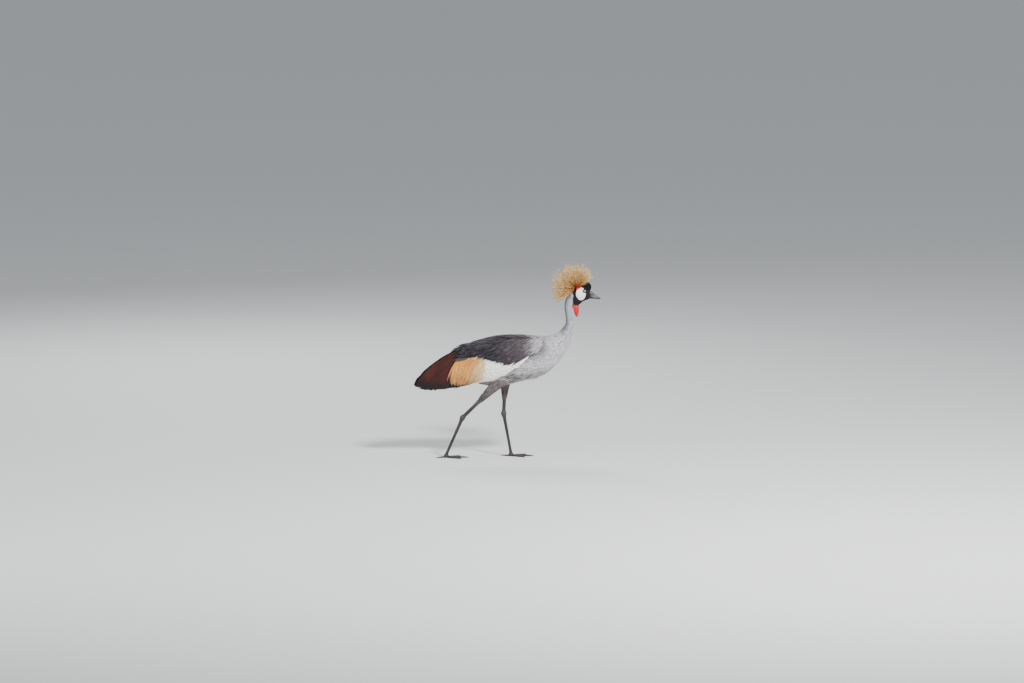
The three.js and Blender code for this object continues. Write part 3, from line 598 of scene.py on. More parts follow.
def vanes(spine, out, half, thick, cup=0.1, columns=7):
    """Broad closed vanes: a cupped upper face of several columns and the same below it."""
    along = unit(np.gradient(spine, axis=1))
    across = unit(np.cross(out, along))[:, :, None]
    up = np.cross(along[:, :, None], across)
    c = np.linspace(1, -1, columns)
    half = half[..., None, None]
    rise = (0.15 + 0.85 * np.sqrt(1 - c**2)) * thick
    bend = -cup * np.abs(c) ** 1.7
    top = across * half * c[:, None] + up * (half * bend[:, None] + rise[:, None] / 2)
    low = across * half * c[:, None] + up * (half * bend[:, None] - rise[:, None] / 2)
    corners = np.concatenate([top, low[:, :, ::-1]], 2)
    count, stations = spine.shape[:2]
    index = np.arange(count * stations * 2 * columns).reshape(count, stations, 2 * columns)
    here, there = index[:, :-1], index[:, 1:]
    sides = np.stack([here, np.roll(here, -1, 2), np.roll(there, -1, 2), there], -1).reshape(-1, 4)
    pair = np.arange(columns - 1)
    ends = [
        np.stack([end[:, a], end[:, b], end[:, c_], end[:, d]], -1).reshape(-1, 4)
        for end, a, b, c_, d in (
            (index[:, 0], pair + 1, pair, 2 * columns - 1 - pair, 2 * columns - 2 - pair),
            (index[:, -1], pair, pair + 1, 2 * columns - 2 - pair, 2 * columns - 1 - pair),
        )
    ]
    made = {"points": spine[:, :, None] + corners, "faces": [sides, *ends]}
    return made | feather_maps(spine, half[..., 0], np.concatenate([c, c[::-1]]))


def add_coat(name, made, root, tint, finish, slot, stands_for=()):
    """Adds feathers as one piece. root is each feather's place on the unwrapped skin, for its bake map."""
    shape = (made["points"].reshape(-1, 3), made["faces"])
    tint = np.broadcast_to(tint, made["points"].shape).reshape(-1, 3)
    bake = made["patch"] + root[:, None, None]
    return add_piece(
        name, shape, finish, slot, stands_for, tint,
        Vane=made["vane"].reshape(-1, 2), OFBake=bake.reshape(-1, 2),
    )


def profile(rows, t):
    """Straight lines through rows of place and value, read at t."""
    place, value = np.asarray(rows, float).T
    return np.interp(t, place, value)


BLADE = [[0, 0.35], [0.12, 0.7], [0.5, 1], [0.8, 0.92], [0.93, 0.68], [1, 0.2]]
LANCE = [[0, 0.4], [0.2, 0.85], [0.45, 1], [0.75, 0.62], [1, 0.06]]
# How feathers change along the axis: length, half width, spacing along and round, and wander
FEATHER_SIZES = [
    [0, 62, 6, 12, 9.5, 0.12],
    [300, 68, 4.6, 11, 6.6, 0.14],
    [430, 54, 3.6, 9.5, 5.2, 0.13],
    [520, 34, 2.6, 7, 4.2, 0.10],
    [580, 24, 1.7, 5.2, 2.9, 0.09],
    [670, 17, 1.3, 4.2, 2.2, 0.08],
    [705, 10, 1.2, 3.2, 1.9, 0.12],
    [750, 5.2, 0.95, 2.3, 1.6, 0.15],
    [806, 3.6, 0.75, 1.8, 1.3, 0.15],
]
draw = np.random.default_rng(7)


def root_places():
    """Rows of roots along the axis, each row shifted by half a step, with a little disorder."""
    s, places = 6.0, []
    while s < AXIS[-1][0] - 3:
        _, _, row, beside, _ = smooth(FEATHER_SIZES, np.array(s))
        ring = read_skin(skin_grid, np.full(97, s), np.linspace(0, 2 * np.pi, 97))
        length = np.concatenate([[0], np.cumsum(np.linalg.norm(np.diff(ring, axis=0), axis=1))])
        count = int(length[-1] / beside)
        at = (np.arange(count) + 0.5 * (len(places) % 2) + draw.uniform(-0.3, 0.3, count)) / count
        theta = np.interp(np.mod(at, 1) * length[-1], length, np.linspace(0, 2 * np.pi, 97))
        places.append(np.stack([s + draw.uniform(-0.3, 0.3, count) * row, theta], -1))
        s += row
    return np.concatenate(places)


SLATE_EDGE = [
    [-260, 478], [-240, 486], [-212, 503], [-170, 513], [-109, 499],
    [-47, 483], [-6, 465], [35, 469], [122, 519],
]
WING_EDGE = [[-160, 372], [-109, 386], [-33, 402], [21, 434], [77, 472], [122, 512]]


def lay_on_body(s, theta, length, wander, lift, stations):
    """Walks each feather back along the skin from its root, in steps of equal length, rising by lift(t)."""
    spine, out = [], []
    for t in np.linspace(0, 1, stations):
        point, normal = read_skin(skin_grid, s, theta), unit(read_skin(skin_normal, s, theta))
        spine.append(point + normal * lift(t)[:, None])
        out.append(normal)
        pace = length / (stations - 1)
        ahead = read_skin(skin_grid, s - 1, theta)
        s = s - pace / np.maximum(np.linalg.norm(ahead - point, axis=-1), 0.25)
        beside = read_skin(skin_grid, s, theta + 0.02)
        around = np.maximum(np.linalg.norm(beside - point, axis=-1) / 0.02, 4)
        theta = theta + wander * pace / around
    return np.stack(spine, 1), np.stack(out, 1)


roots = root_places()
at = read_skin(skin_grid, roots[:, 0], roots[:, 1])
edge = profile(WING_EDGE, at[:, 0])
under_wing = (at[:, 0] < 118) & (at[:, 2] > edge + 6) & (roots[:, 0] < 420)
face = roots[:, 0] > 700
near_eye = np.hypot(at[:, 0] - RIGHT_EYE[0], at[:, 2] - RIGHT_EYE[2]) < 10.5
on_cheek = np.hypot((at[:, 0] - 373) / 23.5, (at[:, 2] - 807) / 32) < 1
on_patch = np.hypot((at[:, 0] - 363.5) / 13.5, (at[:, 2] - 841 - 0.4 * (at[:, 0] - 361)) / 7.2) < 1
sideways = np.abs(at[:, 1]) > 8
bare = face & sideways & (near_eye | on_cheek | on_patch)
bare |= (at[:, 0] > 380) & (at[:, 2] > 838)
bare |= (at[:, 0] > 329) & (at[:, 2] > 738) & (at[:, 2] < 755 - 0.4 * (at[:, 0] - 329))
roots, at = roots[~under_wing & ~bare], at[~under_wing & ~bare]
long_feathers, half, _, _, wander = smooth(FEATHER_SIZES, roots[:, 0])
depth = smooth(PLUMAGE_DEPTH, roots[:, 0])[0]
low_side = step(480, 400, at[:, 2]) * step(330, 260, at[:, 0]) * step(-80, 20, at[:, 0])
long_feathers = long_feathers * (1 + 0.75 * low_side) * draw.uniform(0.82, 1.15, len(roots))
half = half * (1 - 0.35 * low_side) * draw.uniform(0.85, 1.15, len(roots))
turns = draw.normal(0, 1, len(roots)) * wander


def body_lift(t):
    """Height over the skin: rooted a little under it, then up through the plumage to the tip."""
    return -0.8 + (depth + 1.6 + 4 * low_side) * t**0.9


STATIONS = 7
spine, out = lay_on_body(roots[:, 0], roots[:, 1], long_feathers, turns, body_lift, STATIONS)
t = np.linspace(0, 1, STATIONS)
widths = half[:, None] * profile(LANCE, t)
contour = strands(spine, out, widths, 0.12 + widths * 0.16, cup=0.25)
tip_tint = body_tint(spine)
streak = draw.normal(0, 1, len(roots))[:, None, None]
tone = 1 + 0.08 * streak
shadow = 0.74 + 0.26 * t[None, :, None] ** 0.8
# The pale plumes are painted dark at their roots, as painted shade
pale_plume = blend(SHADE_DARK_GREY, paint(232, 228, 226), step(0.1, 0.6, t))[None]
tint = tip_tint * tone * shadow
plume_share = (low_side * (draw.random(len(roots)) < 0.55))[:, None]
tint = blend(tint, np.broadcast_to(pale_plume, tint.shape) * tone, 0.8 * plume_share + 0 * t)
# Some strands among the pale plumes are painted dark all along, as painted shade in the gaps between them
shade_strand_share = (low_side * (draw.random(len(roots)) < 0.5))[:, None]
tint = blend(tint, SHADE_DARK_GREY, 0.9 * shade_strand_share * (1 - plume_share) + 0 * t)

grey_finish = plumage("grey_feather", 7, 0.8, 0.15, 0.35)
unwrapped = np.stack([roots[:, 0] / TRUNK_SPAN * 0.9, np.mod(roots[:, 1], 2 * np.pi) / 6.3], -1)


def pick(made, chosen):
    """Only the chosen feathers of a coat, with their faces counted anew."""
    count, stations, corners = made["points"].shape[:3]
    order = np.cumsum(chosen) - 1
    size = stations * corners
    faces = []
    for face in made["faces"]:
        owner = face[:, 0] // size
        kept = chosen[owner]
        faces.append(face[kept] - ((owner - order[owner]) * size)[kept, None])
    return {key: made[key][chosen] for key in ("points", "vane", "patch")} | {"faces": faces}


for name, chosen, slot in (
    ("breast_feathers", roots[:, 0] < 520, "grey_plumage"),
    ("neck_feathers", (roots[:, 0] >= 520) & (roots[:, 0] < 690), "grey_plumage"),
    ("face_feathers", roots[:, 0] >= 690, "face_plumage"),
):
    add_coat(name, pick(contour, chosen), unwrapped[chosen], tint[chosen][:, :, None], grey_finish, slot)

# A loose fringe hangs back from the keel of the breast, longest where the breast is deepest
count = 260
x0 = draw.uniform(70, 244, count)
off = draw.normal(0, 13, count)
reach = np.interp(x0, [70, 150, 205, 244], [16, 34, 62, 34]) * draw.uniform(0.6, 1.1, count)
start = np.stack([x0, off, smooth(TRUNK, x0)[1] + 1 + 0.012 * off**2], -1)
end = start + reach[:, None] * np.stack([-0.86 + 0 * off, -0.01 * off, draw.uniform(-0.62, -0.3, count)], -1)
bend_at = (start + end) / 2 + reach[:, None] * np.array([-0.05, 0, 0.09])
t = np.linspace(0, 1, 9)[None, :, None]
spine = (1 - t) ** 2 * start[:, None] + 2 * t * (1 - t) * bend_at[:, None] + t**2 * end[:, None]
half = draw.uniform(1.3, 2.4, (count, 1)) * profile(LANCE, t[0, :, 0])
out = np.broadcast_to(unit(np.stack([0 * off - 0.3, off / 20, 0 * off - 0.8], -1))[:, None], spine.shape)
fringe = strands(spine, out, half, 0.1 + half * 0.15, cup=0.2)
# Painted shade: each strand is dark at its root under the breast and paler towards its tip
fringe_tint = blend(BREAST_GREY * 0.35, BREAST_GREY * 0.9, step(0, 0.6, t[..., 0]))
fringe_tint = fringe_tint * draw.normal(1, 0.2, (count, 1, 1))
add_coat(
    "breast_fringe", fringe, np.stack([0.03 + 0.92 * (x0 + 440) / TRUNK_SPAN, 0.75 + off / 400], -1),
    fringe_tint[:, :, None], grey_finish, "grey_plumage",
)


# The velvet cap
# A firm swelling over the forehead and the crown, clothed in short black velvety feathers that
# stand close and lie back a little.
CAP_MIDDLE = np.array([396.0, 0.0, 839.0])
CAP_SIZE = np.array([25.0, 18.0, 25.5])
CAP_TILT = np.radians(-14)
VELVET = paint(13, 12, 14)


def cap_point(across, along, d=0.0):
    """An egg whose front is fuller than its back: angles across and along, pushed out by d."""
    x = np.sin(across) * np.cos(along)
    y = np.sin(across) * np.sin(along)
    z = np.cos(across)
    full = 1 + 0.05 * x - 0.05 * (1 - z)
    p = np.stack([x * full, y * full, z], -1) * (CAP_SIZE + np.asarray(d)[..., None])
    turned = np.stack([
        p[..., 0] * np.cos(CAP_TILT) - p[..., 2] * np.sin(CAP_TILT),
        p[..., 1],
        p[..., 0] * np.sin(CAP_TILT) + p[..., 2] * np.cos(CAP_TILT),
    ], -1)
    return turned + CAP_MIDDLE


velvet_finish, tree, shader = new_finish("velvet_feather", 0.9)
where = wire(tree, "ShaderNodeTexCoord").outputs["Object"]
nap = wire(tree, "ShaderNodeTexNoise", {"Vector": where, "Scale": 1400.0, "Detail": 4.0}).outputs[0]
tone = sums(tree, "MULTIPLY_ADD", nap, 0.9, 0.5)
tree.links.new(tint_times(tree, tone), shader.inputs["Base Color"])
shader.inputs["Specular IOR Level"].default_value = 0.2
shader.inputs["Sheen Weight"].default_value = 0.12
relief(tree, shader, 0.6, 0.0005, nap)

dome_shape = tube_shape(cap_point(*ring_grid(np.linspace(0.02, 1.95, 40), 64)))
# The dome under the nap is painted darker than the velvet, as shade between the nap feathers
add_piece(
    "forehead_cap", dome_shape, velvet_finish, "velvet_cap", ["forehead_cap"],
    np.broadcast_to(VELVET * 0.7, dome_shape[0].shape),
)

count = 3600
u, v = draw.random(count), draw.random(count)
across, along = np.arccos(1 - u * 1.36), 2 * np.pi * v
root = cap_point(across, along, np.full(count, -0.3))
normal = unit(cap_point(across, along, np.full(count, 1.0)) - cap_point(across, along, np.full(count, 0.0)))
lie = unit(np.array([-1.0, 0.0, 0.15]) - normal * (normal @ np.array([-1.0, 0.0, 0.15]))[:, None])
lie = unit(lie + draw.normal(0, 0.22, lie.shape))
t = np.linspace(0, 1, 4)
nap_length = draw.uniform(2.8, 4.2, count)[:, None, None]
flat, raised = (t**1.3)[None, :, None], (t**0.7)[None, :, None]
spine = root[:, None] + nap_length * (lie[:, None] * flat + 0.52 * normal[:, None] * raised)
half = np.broadcast_to(0.5 * profile(LANCE, t), (count, 4))
nap = strands(spine, np.repeat(normal[:, None], 4, 1), half, np.full((count, 4), 0.13))
add_coat(
    "velvet_nap", nap, np.stack([0.02 + 0.9 * across / 2, along / 6.4], -1),
    VELVET * draw.uniform(0.6, 1.5, (count, 1, 1, 1)), velvet_finish, "velvet_cap",
)


# Bare cheeks and the red patches over them
# Naked skin behind and under each eye: an oval of chalky white with a faint pink, finely wrinkled,
# and a smaller crimson patch above it. Both stand up a little from the feathers round them.
CHEEK = {"middle": (370.5, 807), "size": (25, 34), "rise": 1.5, "tilt": -0.1}
PATCH = {"middle": (361, 841), "size": (15.5, 8), "rise": 1.9, "tilt": 0.42}
CHEEK_WHITE = paint(252, 249, 248)
CHEEK_PINK = paint(250, 234, 232)


def bare_oval(middle, size, rise, tilt, side):
    """A tilted oval plate over the head's side: rounded at its rim, notched where the eye's lids are."""
    rows, columns = 33, 96
    radius, turn = ring_grid(np.linspace(0, 1, rows + 1)[1:], columns)
    along, across = size[0] * radius * np.cos(turn), size[1] * radius * np.sin(turn)
    x = middle[0] + along * np.cos(tilt) - across * np.sin(tilt)
    z = middle[1] + along * np.sin(tilt) + across * np.cos(tilt)
    away = np.hypot((x - RIGHT_EYE[0]) / 11.2, (z - RIGHT_EYE[2]) / 10)
    d = rise * np.sqrt(np.maximum(0, 1 - radius**3.2)) - 0.9 * radius**8 - 0.4
    d = d - 3.2 * step(1.15, 0.8, away)
    d += 0.16 * np.sin(0.9 * x + 1.7 * np.sin(0.31 * z)) * (1 - radius**4)
    rings = head_side(x, z, d, side)
    centre = head_side(np.array(float(middle[0])), np.array(float(middle[1])), rise - 0.4, side)
    points = np.concatenate([rings.reshape(-1, 3), centre[None]])
    first = close_end(np.arange(columns), len(points) - 1, side > 0)
    faces = weave(rows, columns)
    return points, [faces if side > 0 else faces[:, ::-1], first]


def bare_skin(name, light, deep, wrinkle, roughness):
    """Naked skin: two tints in soft clouds, with a net of fine wrinkles in the bump."""
    made, tree, shader = new_finish(name, roughness)
    where = wire(tree, "ShaderNodeTexCoord").outputs["Object"]
    cloud = wire(tree, "ShaderNodeTexNoise", {"Vector": where, "Scale": 160.0, "Detail": 5.0})
    net = wire(tree, "ShaderNodeTexVoronoi", {"Vector": where, "Scale": wrinkle}, feature="DISTANCE_TO_EDGE")
    share = wire(tree, "ShaderNodeMapRange", {0: cloud.outputs[0], 1: 0.42, 2: 0.75}).outputs[0]
    colour = wire(tree, "ShaderNodeMix", {0: share, 6: (*light, 1), 7: (*deep, 1)}, data_type="RGBA")
    tree.links.new(colour.outputs[2], shader.inputs["Base Color"])
    shader.inputs["Subsurface Weight"].default_value = 0.15
    shader.inputs["Subsurface Radius"].default_value = (0.004, 0.0015, 0.001)
    crease = wire(tree, "ShaderNodeMapRange", {0: net.outputs["Distance"], 1: 0.0, 2: 0.12}).outputs[0]
    relief(tree, shader, 0.35, 0.0004, crease)
    return made


cheek_finish = bare_skin("bare_cheek", CHEEK_WHITE, CHEEK_PINK, 900.0, 0.55)
red_finish = bare_skin("crimson_skin", CRIMSON, CRIMSON * 0.45, 1100.0, 0.42)
for name, side in (("left", 1), ("right", -1)):
    add_piece(
        f"cheek_{name}", bare_oval(**CHEEK, side=side),
        cheek_finish, "bare_cheek", [f"cheek_{name}"],
    )
    add_piece(
        f"red_patch_{name}", bare_oval(**PATCH, side=side),
        red_finish, "red_skin", [f"red_patch_{name}"],
    )


# Eyes
# Glassy balls with a pale bluish-grey iris, streaked from the pupil outwards, and a dark rim.
IRIS_RADIUS = 5.1
PUPIL_RADIUS = 2.7
IRIS = paint(196, 208, 216)


def eyeball(eye):
    """Rings round the line of sight, from the front of the ball to its back."""
    side = np.sign(eye[1])
    sight = unit(np.array([0.22, side, 0.04]))
    right = unit(np.cross(sight, [0, 0, 1]))
    up = np.cross(right, sight)
    polar = np.concatenate([np.linspace(0.01, 0.85, 40), np.linspace(0.9, 3.1, 22)])
    polar, turn = ring_grid(polar, 72)
    off = np.sin(polar)[..., None] * (np.cos(turn)[..., None] * right + np.sin(turn)[..., None] * up)
    rings = eye + EYE_RADIUS * (np.cos(polar)[..., None] * sight + off)
    away = EYE_RADIUS * np.sin(polar) * np.where(polar < 1.5, 1, 9)
    streak = 0.5 + 0.5 * np.sin(31 * turn + 3 * np.sin(7 * turn)) * np.sin(17 * turn)
    tint = IRIS * (0.72 + 0.32 * streak)[..., None]
    tint = blend(tint, IRIS * 0.35, step(PUPIL_RADIUS + 1.2, PUPIL_RADIUS, away))
    tint = blend(tint, paint(5, 5, 6), step(PUPIL_RADIUS + 0.25, PUPIL_RADIUS, away))
    tint = blend(tint, paint(24, 24, 28), step(IRIS_RADIUS - 0.5, IRIS_RADIUS + 0.4, away))
    points, faces = tube_shape(rings)
    tint = np.concatenate([tint.reshape(-1, 3), paint(5, 5, 6)[None], paint(24, 24, 28)[None]])
    return (points, faces), tint


eye_finish, tree, shader = new_finish("wet_eye", 0.12)
tree.links.new(own_tint(tree), shader.inputs["Base Color"])
shader.inputs["Coat Weight"].default_value = 1.0
shader.inputs["Coat Roughness"].default_value = 0.03
for name, eye in (("right", EYE_MIDDLES[0]), ("left", EYE_MIDDLES[1])):
    shape, eye_colours = eyeball(eye)
    add_piece(f"eye_{name}", shape, eye_finish, "eye", [f"eye_{name}"], eye_colours)


# The bill
# Two horny halves, slightly bent down, that meet along the gape. The upper one has a rounded ridge,
# a long nasal groove with the nostril in it, and a fine overhang over the lower.
BILL_BACK = 412.0
BILL_TIP = 468.0
RIDGE = [[0, 823], [0.14, 819.5], [0.46, 807.5], [0.8, 795], [0.93, 789.4], [0.985, 785.2], [1, 783.4]]
KEEL = [[0, 781.5], [0.2, 782.4], [0.5, 781.6], [0.82, 779.8], [0.95, 780.6], [1, 782.4]]
NOSTRIL = (433, 803.6)


def gape(t):
    """Height of the mouth line along the bill, a slight downward bow."""
    return 794 + (783.0 - 794) * t - 2.3 * np.sin(np.pi * t)


def nostril_slot(x, z):
    """How far a place is from the nostril's slit, which slants down forwards: less than 1 is inside."""
    run = (x - NOSTRIL[0]) * 0.92 - (z - NOSTRIL[1]) * 0.39
    rise = (z - NOSTRIL[1]) * 0.92 + (x - NOSTRIL[0]) * 0.39
    return np.hypot(run / 6.2, rise / 1.5)


def bill_half(top, low, wide, fullness, groove=0.0, nostril=False):
    """Rings along the bill: a superellipse over the gape for one half, with the nasal groove pressed in."""
    t, turn = ring_grid(np.linspace(0, 1, 90), 64)
    t = 1 - (1 - t) ** 1.25
    x = BILL_BACK + (BILL_TIP - BILL_BACK) * t
    c, s = np.cos(turn), np.sin(turn)
    y = wide(t) * np.sign(c) * np.abs(c) ** fullness
    share = np.where(s > 0, np.abs(s) ** fullness, -0.04 * np.abs(s))
    z = low(t) + (top(t) - low(t)) * share
    height = (z - low(t)) / (top(t) - low(t))
    press = groove * np.exp(-((height - 0.42 + 0.1 * t) / 0.14) ** 2)
    press = press * step(0.05, 0.18, t) * step(0.78, 0.5, t)
    y = y - np.sign(y) * press
    if nostril:
        y = y - np.sign(y) * 2.2 * step(1.15, 0.6, nostril_slot(x, z)) * (np.abs(y) > 2)
    return np.stack([x, y, z], -1)


def horn_tint(p):
    """Dark slate horn, paler along the middle of its length and dark again at the tip; painted shade darkens
    the whole lower half, the upper half just above the gape and the nostril's slit.
    """
    t = (p[..., 0] - BILL_BACK) / (BILL_TIP - BILL_BACK)
    colour = blend(paint(38, 37, 41), paint(80, 78, 82), step(0.1, 0.45, t) * step(1.05, 0.8, t))
    # Painted shade: the lower half and the mouth line above it
    colour = blend(colour, paint(26, 25, 28), step(3.5, -0.5, p[..., 2] - gape(t)))
    slot = nostril_slot(p[..., 0], p[..., 2])
    # Painted shade in the nostril's slit
    return blend(colour, paint(12, 11, 12), step(1.15, 0.75, slot) * (np.abs(p[..., 1]) > 2))


def horn(name, rough, grain):
    """Horn: the piece's tint with long fine growth lines, and a little polish."""
    made, tree, shader = new_finish(name, rough)
    where = wire(tree, "ShaderNodeTexCoord").outputs["Object"]
    drawn = wire(tree, "ShaderNodeMapping", {"Vector": where, "Scale": grain})
    noise = {"Vector": drawn.outputs[0], "Scale": 1.0, "Detail": 6.0}
    lines = wire(tree, "ShaderNodeTexNoise", noise).outputs[0]
    tone = sums(tree, "MULTIPLY_ADD", lines, 0.8, 0.6)
    tree.links.new(tint_times(tree, tone), shader.inputs["Base Color"])
    tree.links.new(sums(tree, "MULTIPLY_ADD", lines, 0.25, rough), shader.inputs["Roughness"])
    relief(tree, shader, 0.25, 0.0003, lines)
    return made


horn_finish = horn("bill_horn", 0.3, (120.0, 900.0, 900.0))
upper = bill_half(
    lambda t: smooth(RIDGE, t)[0],
    gape,
    lambda t: (12.4 + (2.6 - 12.4) * t**0.85) * np.sqrt(np.clip((1.003 - t) / 0.06, 0.05, 1)),
    0.82, groove=1.5, nostril=True,
)
lower = bill_half(
    lambda t: smooth(KEEL, t)[0],
    lambda t: gape(t) - 0.25,
    lambda t: (11.4 + (2.2 - 11.4) * t**0.85) * np.sqrt(np.clip((1.003 - t) / 0.08, 0.05, 1)),
    0.85,
)
for name, rings in (("bill_upper", upper), ("bill_lower", lower[:, ::-1])):
    points, faces = tube_shape(rings)
    add_piece(name, (points, faces), horn_finish, "bill_horn", [name], horn_tint(points))


# The throat wattle
# Two flat lobes of bright red bare skin under one root, hanging close in front of the neck and
# creased along their length.
WATTLE_TOP = np.array([342.5, 0.0, 765.0])
WATTLE_LENGTH = 72.0
# Down a lobe: its half depth in the side view, and its half thickness
WATTLE_OUTLINE = [
    [0, 12, 2.4], [0.12, 14, 3], [0.32, 13.6, 3.4],
    [0.6, 10.6, 3.4], [0.85, 6.6, 2.8], [1, 3.2, 1.8],
]


def wattle_lobe(side):
    """Rings down a drooping lobe: broad at the root and narrowing to a round end, with lengthwise folds."""
    t, turn = ring_grid(np.linspace(0, 1, 90), 64)
    deep, wide = smooth(WATTLE_OUTLINE, t)
    end = np.sqrt(np.clip((1.002 - t) / 0.06, 0.02, 1))
    folds = 1 + 0.07 * np.sin(5 * turn + 3 * t) + 0.10 * np.sin(9 * turn - 5 * t + side) * np.sin(np.pi * t)
    x = WATTLE_TOP[0] + 10 * t + 1.6 * np.sin(4 * t + side) + deep * end * folds * np.cos(turn)
    y = side * (1.6 + 4.4 * np.sin(np.pi * t)) + wide * end * folds * np.sin(turn)
    z = WATTLE_TOP[2] - WATTLE_LENGTH * t + 0.5 * np.sin(22 * t + 2 * turn)
    return tube_shape(np.stack([x, y, z], -1))


add_piece("wattle", join_shapes(wattle_lobe(1), wattle_lobe(-1)), red_finish, "red_skin", ["wattle"])


# The crest
# A fan of stiff straw-gold bristles from the back of the crown. Each is a narrow spiral-twisted
# feather: dark gold near its root, paler towards the tip, and a little bent.
CREST_ROOT = np.array([346.0, 0.0, 838.0])
# Where the bristles are rooted, from the front ones to the back ones: share, forward and up of the root
CREST_FEET = [[0, 17, 5], [0.3, 8, 5], [0.5, 0, 1], [0.8, -9, -15], [1, -17, -25]]
# Bristles by the angle at which they rise: degrees, length
CREST_LENGTHS = [[38, 96], [60, 118], [90, 130], [120, 138], [150, 143], [180, 128], [210, 100]]
BRISTLES = 1150
STRAW = paint(246, 208, 138)
STRAW_DEEP = paint(222, 142, 58)

n = np.arange(BRISTLES)
back_share = np.mod(n * 0.618034, 1)
sweep = np.radians(38 + 172 * back_share + draw.uniform(-3, 3, BRISTLES))
lean = np.arcsin(0.86 * (2 * (n + 0.5) / BRISTLES - 1)) + draw.normal(0, 0.04, BRISTLES)
way = np.stack([np.cos(sweep) * np.cos(lean), np.sin(lean), np.sin(sweep) * np.cos(lean)], -1)
length = smooth(CREST_LENGTHS, np.degrees(sweep))[0] * draw.uniform(0.7, 1.02, BRISTLES) ** 0.8
length = length * (1 - 0.26 * np.sin(lean) ** 2)
t = np.linspace(0, 1, 9)
sideways = unit(np.cross(way, np.array([0.3, 0.2, 0.9])))
upward = np.cross(sideways, way)
wave = draw.uniform(-1, 1, (BRISTLES, 2, 1)) * (t**2)[None, None] * 7
forward, up = smooth(CREST_FEET, back_share)
base = CREST_ROOT + np.stack([forward, 0 * forward, up], -1) + way * np.array([1.0, 8.5, 1.0])
spine = base[:, None] + way[:, None] * (length[:, None, None] - 3) * t[None, :, None]
spine = spine + sideways[:, None] * wave[:, 0, :, None] + upward[:, None] * wave[:, 1, :, None]
spine[..., 2] -= (5 + draw.uniform(-3, 5, BRISTLES))[:, None] * t**2
twist = draw.uniform(0, 6.3, (BRISTLES, 1)) + 9 * t
out = upward[:, None] * np.cos(twist)[..., None] + sideways[:, None] * np.sin(twist)[..., None]
half = draw.uniform(0.6, 1.0, (BRISTLES, 1)) * profile([[0, 0.9], [0.5, 1], [0.85, 0.8], [1, 0.3]], t)
crest = strands(spine, out, half, half * 0.45)
tint = blend(STRAW_DEEP, STRAW, step(0.1, 0.7, t))[None] * draw.uniform(0.7, 1.1, (BRISTLES, 1, 1))
straw_finish = plumage("straw_bristle", 5, 0.6, 0.05, 0.16)
add_coat(
    "crest", crest, np.stack([0.05 + 0.9 * sweep / 4, 0.5 + lean / 3.5], -1),
    tint[:, :, None], straw_finish, "crest_straw", ["crest"],
)


# The folded wings
# Feathers lie over the trunk in tiers: white coverts from the shoulder back, which turn to cream
# and gold plumes; chestnut and black flight feathers behind; and long slate scapulars over all.
WHITE = paint(255, 253, 247)
CREAM = paint(250, 224, 172)
GOLD = paint(240, 164, 66)
GOLD_TIP = paint(252, 208, 136)
CHESTNUT = paint(58, 18, 11)
DARK_CHESTNUT = paint(24, 9, 8)
STREAK = paint(90, 83, 92)
FLIGHT_BLACK = paint(14, 12, 15)


def on_trunk(x, phi, d, side):
    """The point of the trunk's outline at x and angle phi up from its side, pushed out by d, and its
    outward way."""
    top, bottom, wide = smooth(TRUNK, x)
    deep = (top - bottom) / 2
    point = np.stack([
        x, side * (wide + d) * np.cos(phi), (top + bottom) / 2 + (deep + d) * np.sin(phi),
    ], -1)
    out = np.stack([0.0 * x, side * np.cos(phi) * deep, np.sin(phi) * wide], -1)
    return point, unit(out)


def angle_at(x, z, d=0.0):
    """The angle at which the outline pushed out by d has height z."""
    top, bottom, _ = smooth(TRUNK, x)
    return np.arcsin(np.clip((z - (top + bottom) / 2) / ((top - bottom) / 2 + d), -0.97, 0.985))


def route(start, over, end, t):
    """Bent lines in the side view through rows of [x, z] points: a start, a point pulled to, and an end."""
    start, over, end = (np.asarray(p, float).reshape(-1, 2)[:, None] for p in (start, over, end))
    t = t[None, :, None]
    line = (1 - t) ** 2 * start + 2 * t * (1 - t) * over + t**2 * end
    return line[..., 0], line[..., 1]


def lay_on_trunk(x, z, d, side):
    """Lines of side-view places laid over the trunk at heights d."""
    return on_trunk(x, angle_at(x, z, d), d, side)


def wing_bake(x, z, side):
    """Where a wing feather's root lies on the unwrapped trunk."""
    return np.stack([0.03 + 0.92 * (x + 440) / TRUNK_SPAN, 0.5 + side * (0.03 + 0.44 * (z - 330) / 290)], -1)


def slate_line(x):
    """Height of the slate feathers' lower edge in the side view."""
    return profile(SLATE_EDGE, x)


def wing_line(x):
    """Height of the folded wing's lower edge in the side view."""
    return profile(WING_EDGE, x)


def individual(count, spread):
    """One shade for each feather, a little lighter or darker than the next."""
    return draw.normal(1, spread, (count, 1, 1))


LONG_BLADE = [[0, 0.4], [0.15, 0.8], [0.45, 1], [0.75, 0.8], [1, 0.08]]
SCAPULAR_X = [-150, -40, 80, 196]
SCAPULAR_REACH = [104, 118, 82, 38]


def back_tint(x0, t, count):
    """Slate feathers of the back: painted shade at the roots, some paler than the rest, browner and then grey
    in front.
    """
    along = np.zeros((count, 1)) + t
    front = step(128, 204, x0 + draw.normal(0, 11, count))[:, None]
    brown = step(10, 140, x0)[:, None] * (0.45 + 0.55 * draw.random((count, 1)))
    dark = blend(SLATE, SHOULDER_BROWN, brown + 0 * along)
    dark = blend(dark, STREAK, 0.6 * draw.random((count, 1)) ** 3 * step(0.2, 0.7, along))
    # Painted shade: darker towards each feather's root
    dark = dark * (0.66 + 0.38 * along[..., None])
    return blend(dark, BREAST_GREY * 0.72, 0.9 * front + 0 * along) * individual(count, 0.08)


def edge_shade(columns, depth):
    """Painted shade across a broad vane: full on the shaft and darker towards both edges."""
    c = np.linspace(1, -1, columns)
    return 1 - depth * np.abs(np.concatenate([c, c[::-1]]))[:, None] ** 4


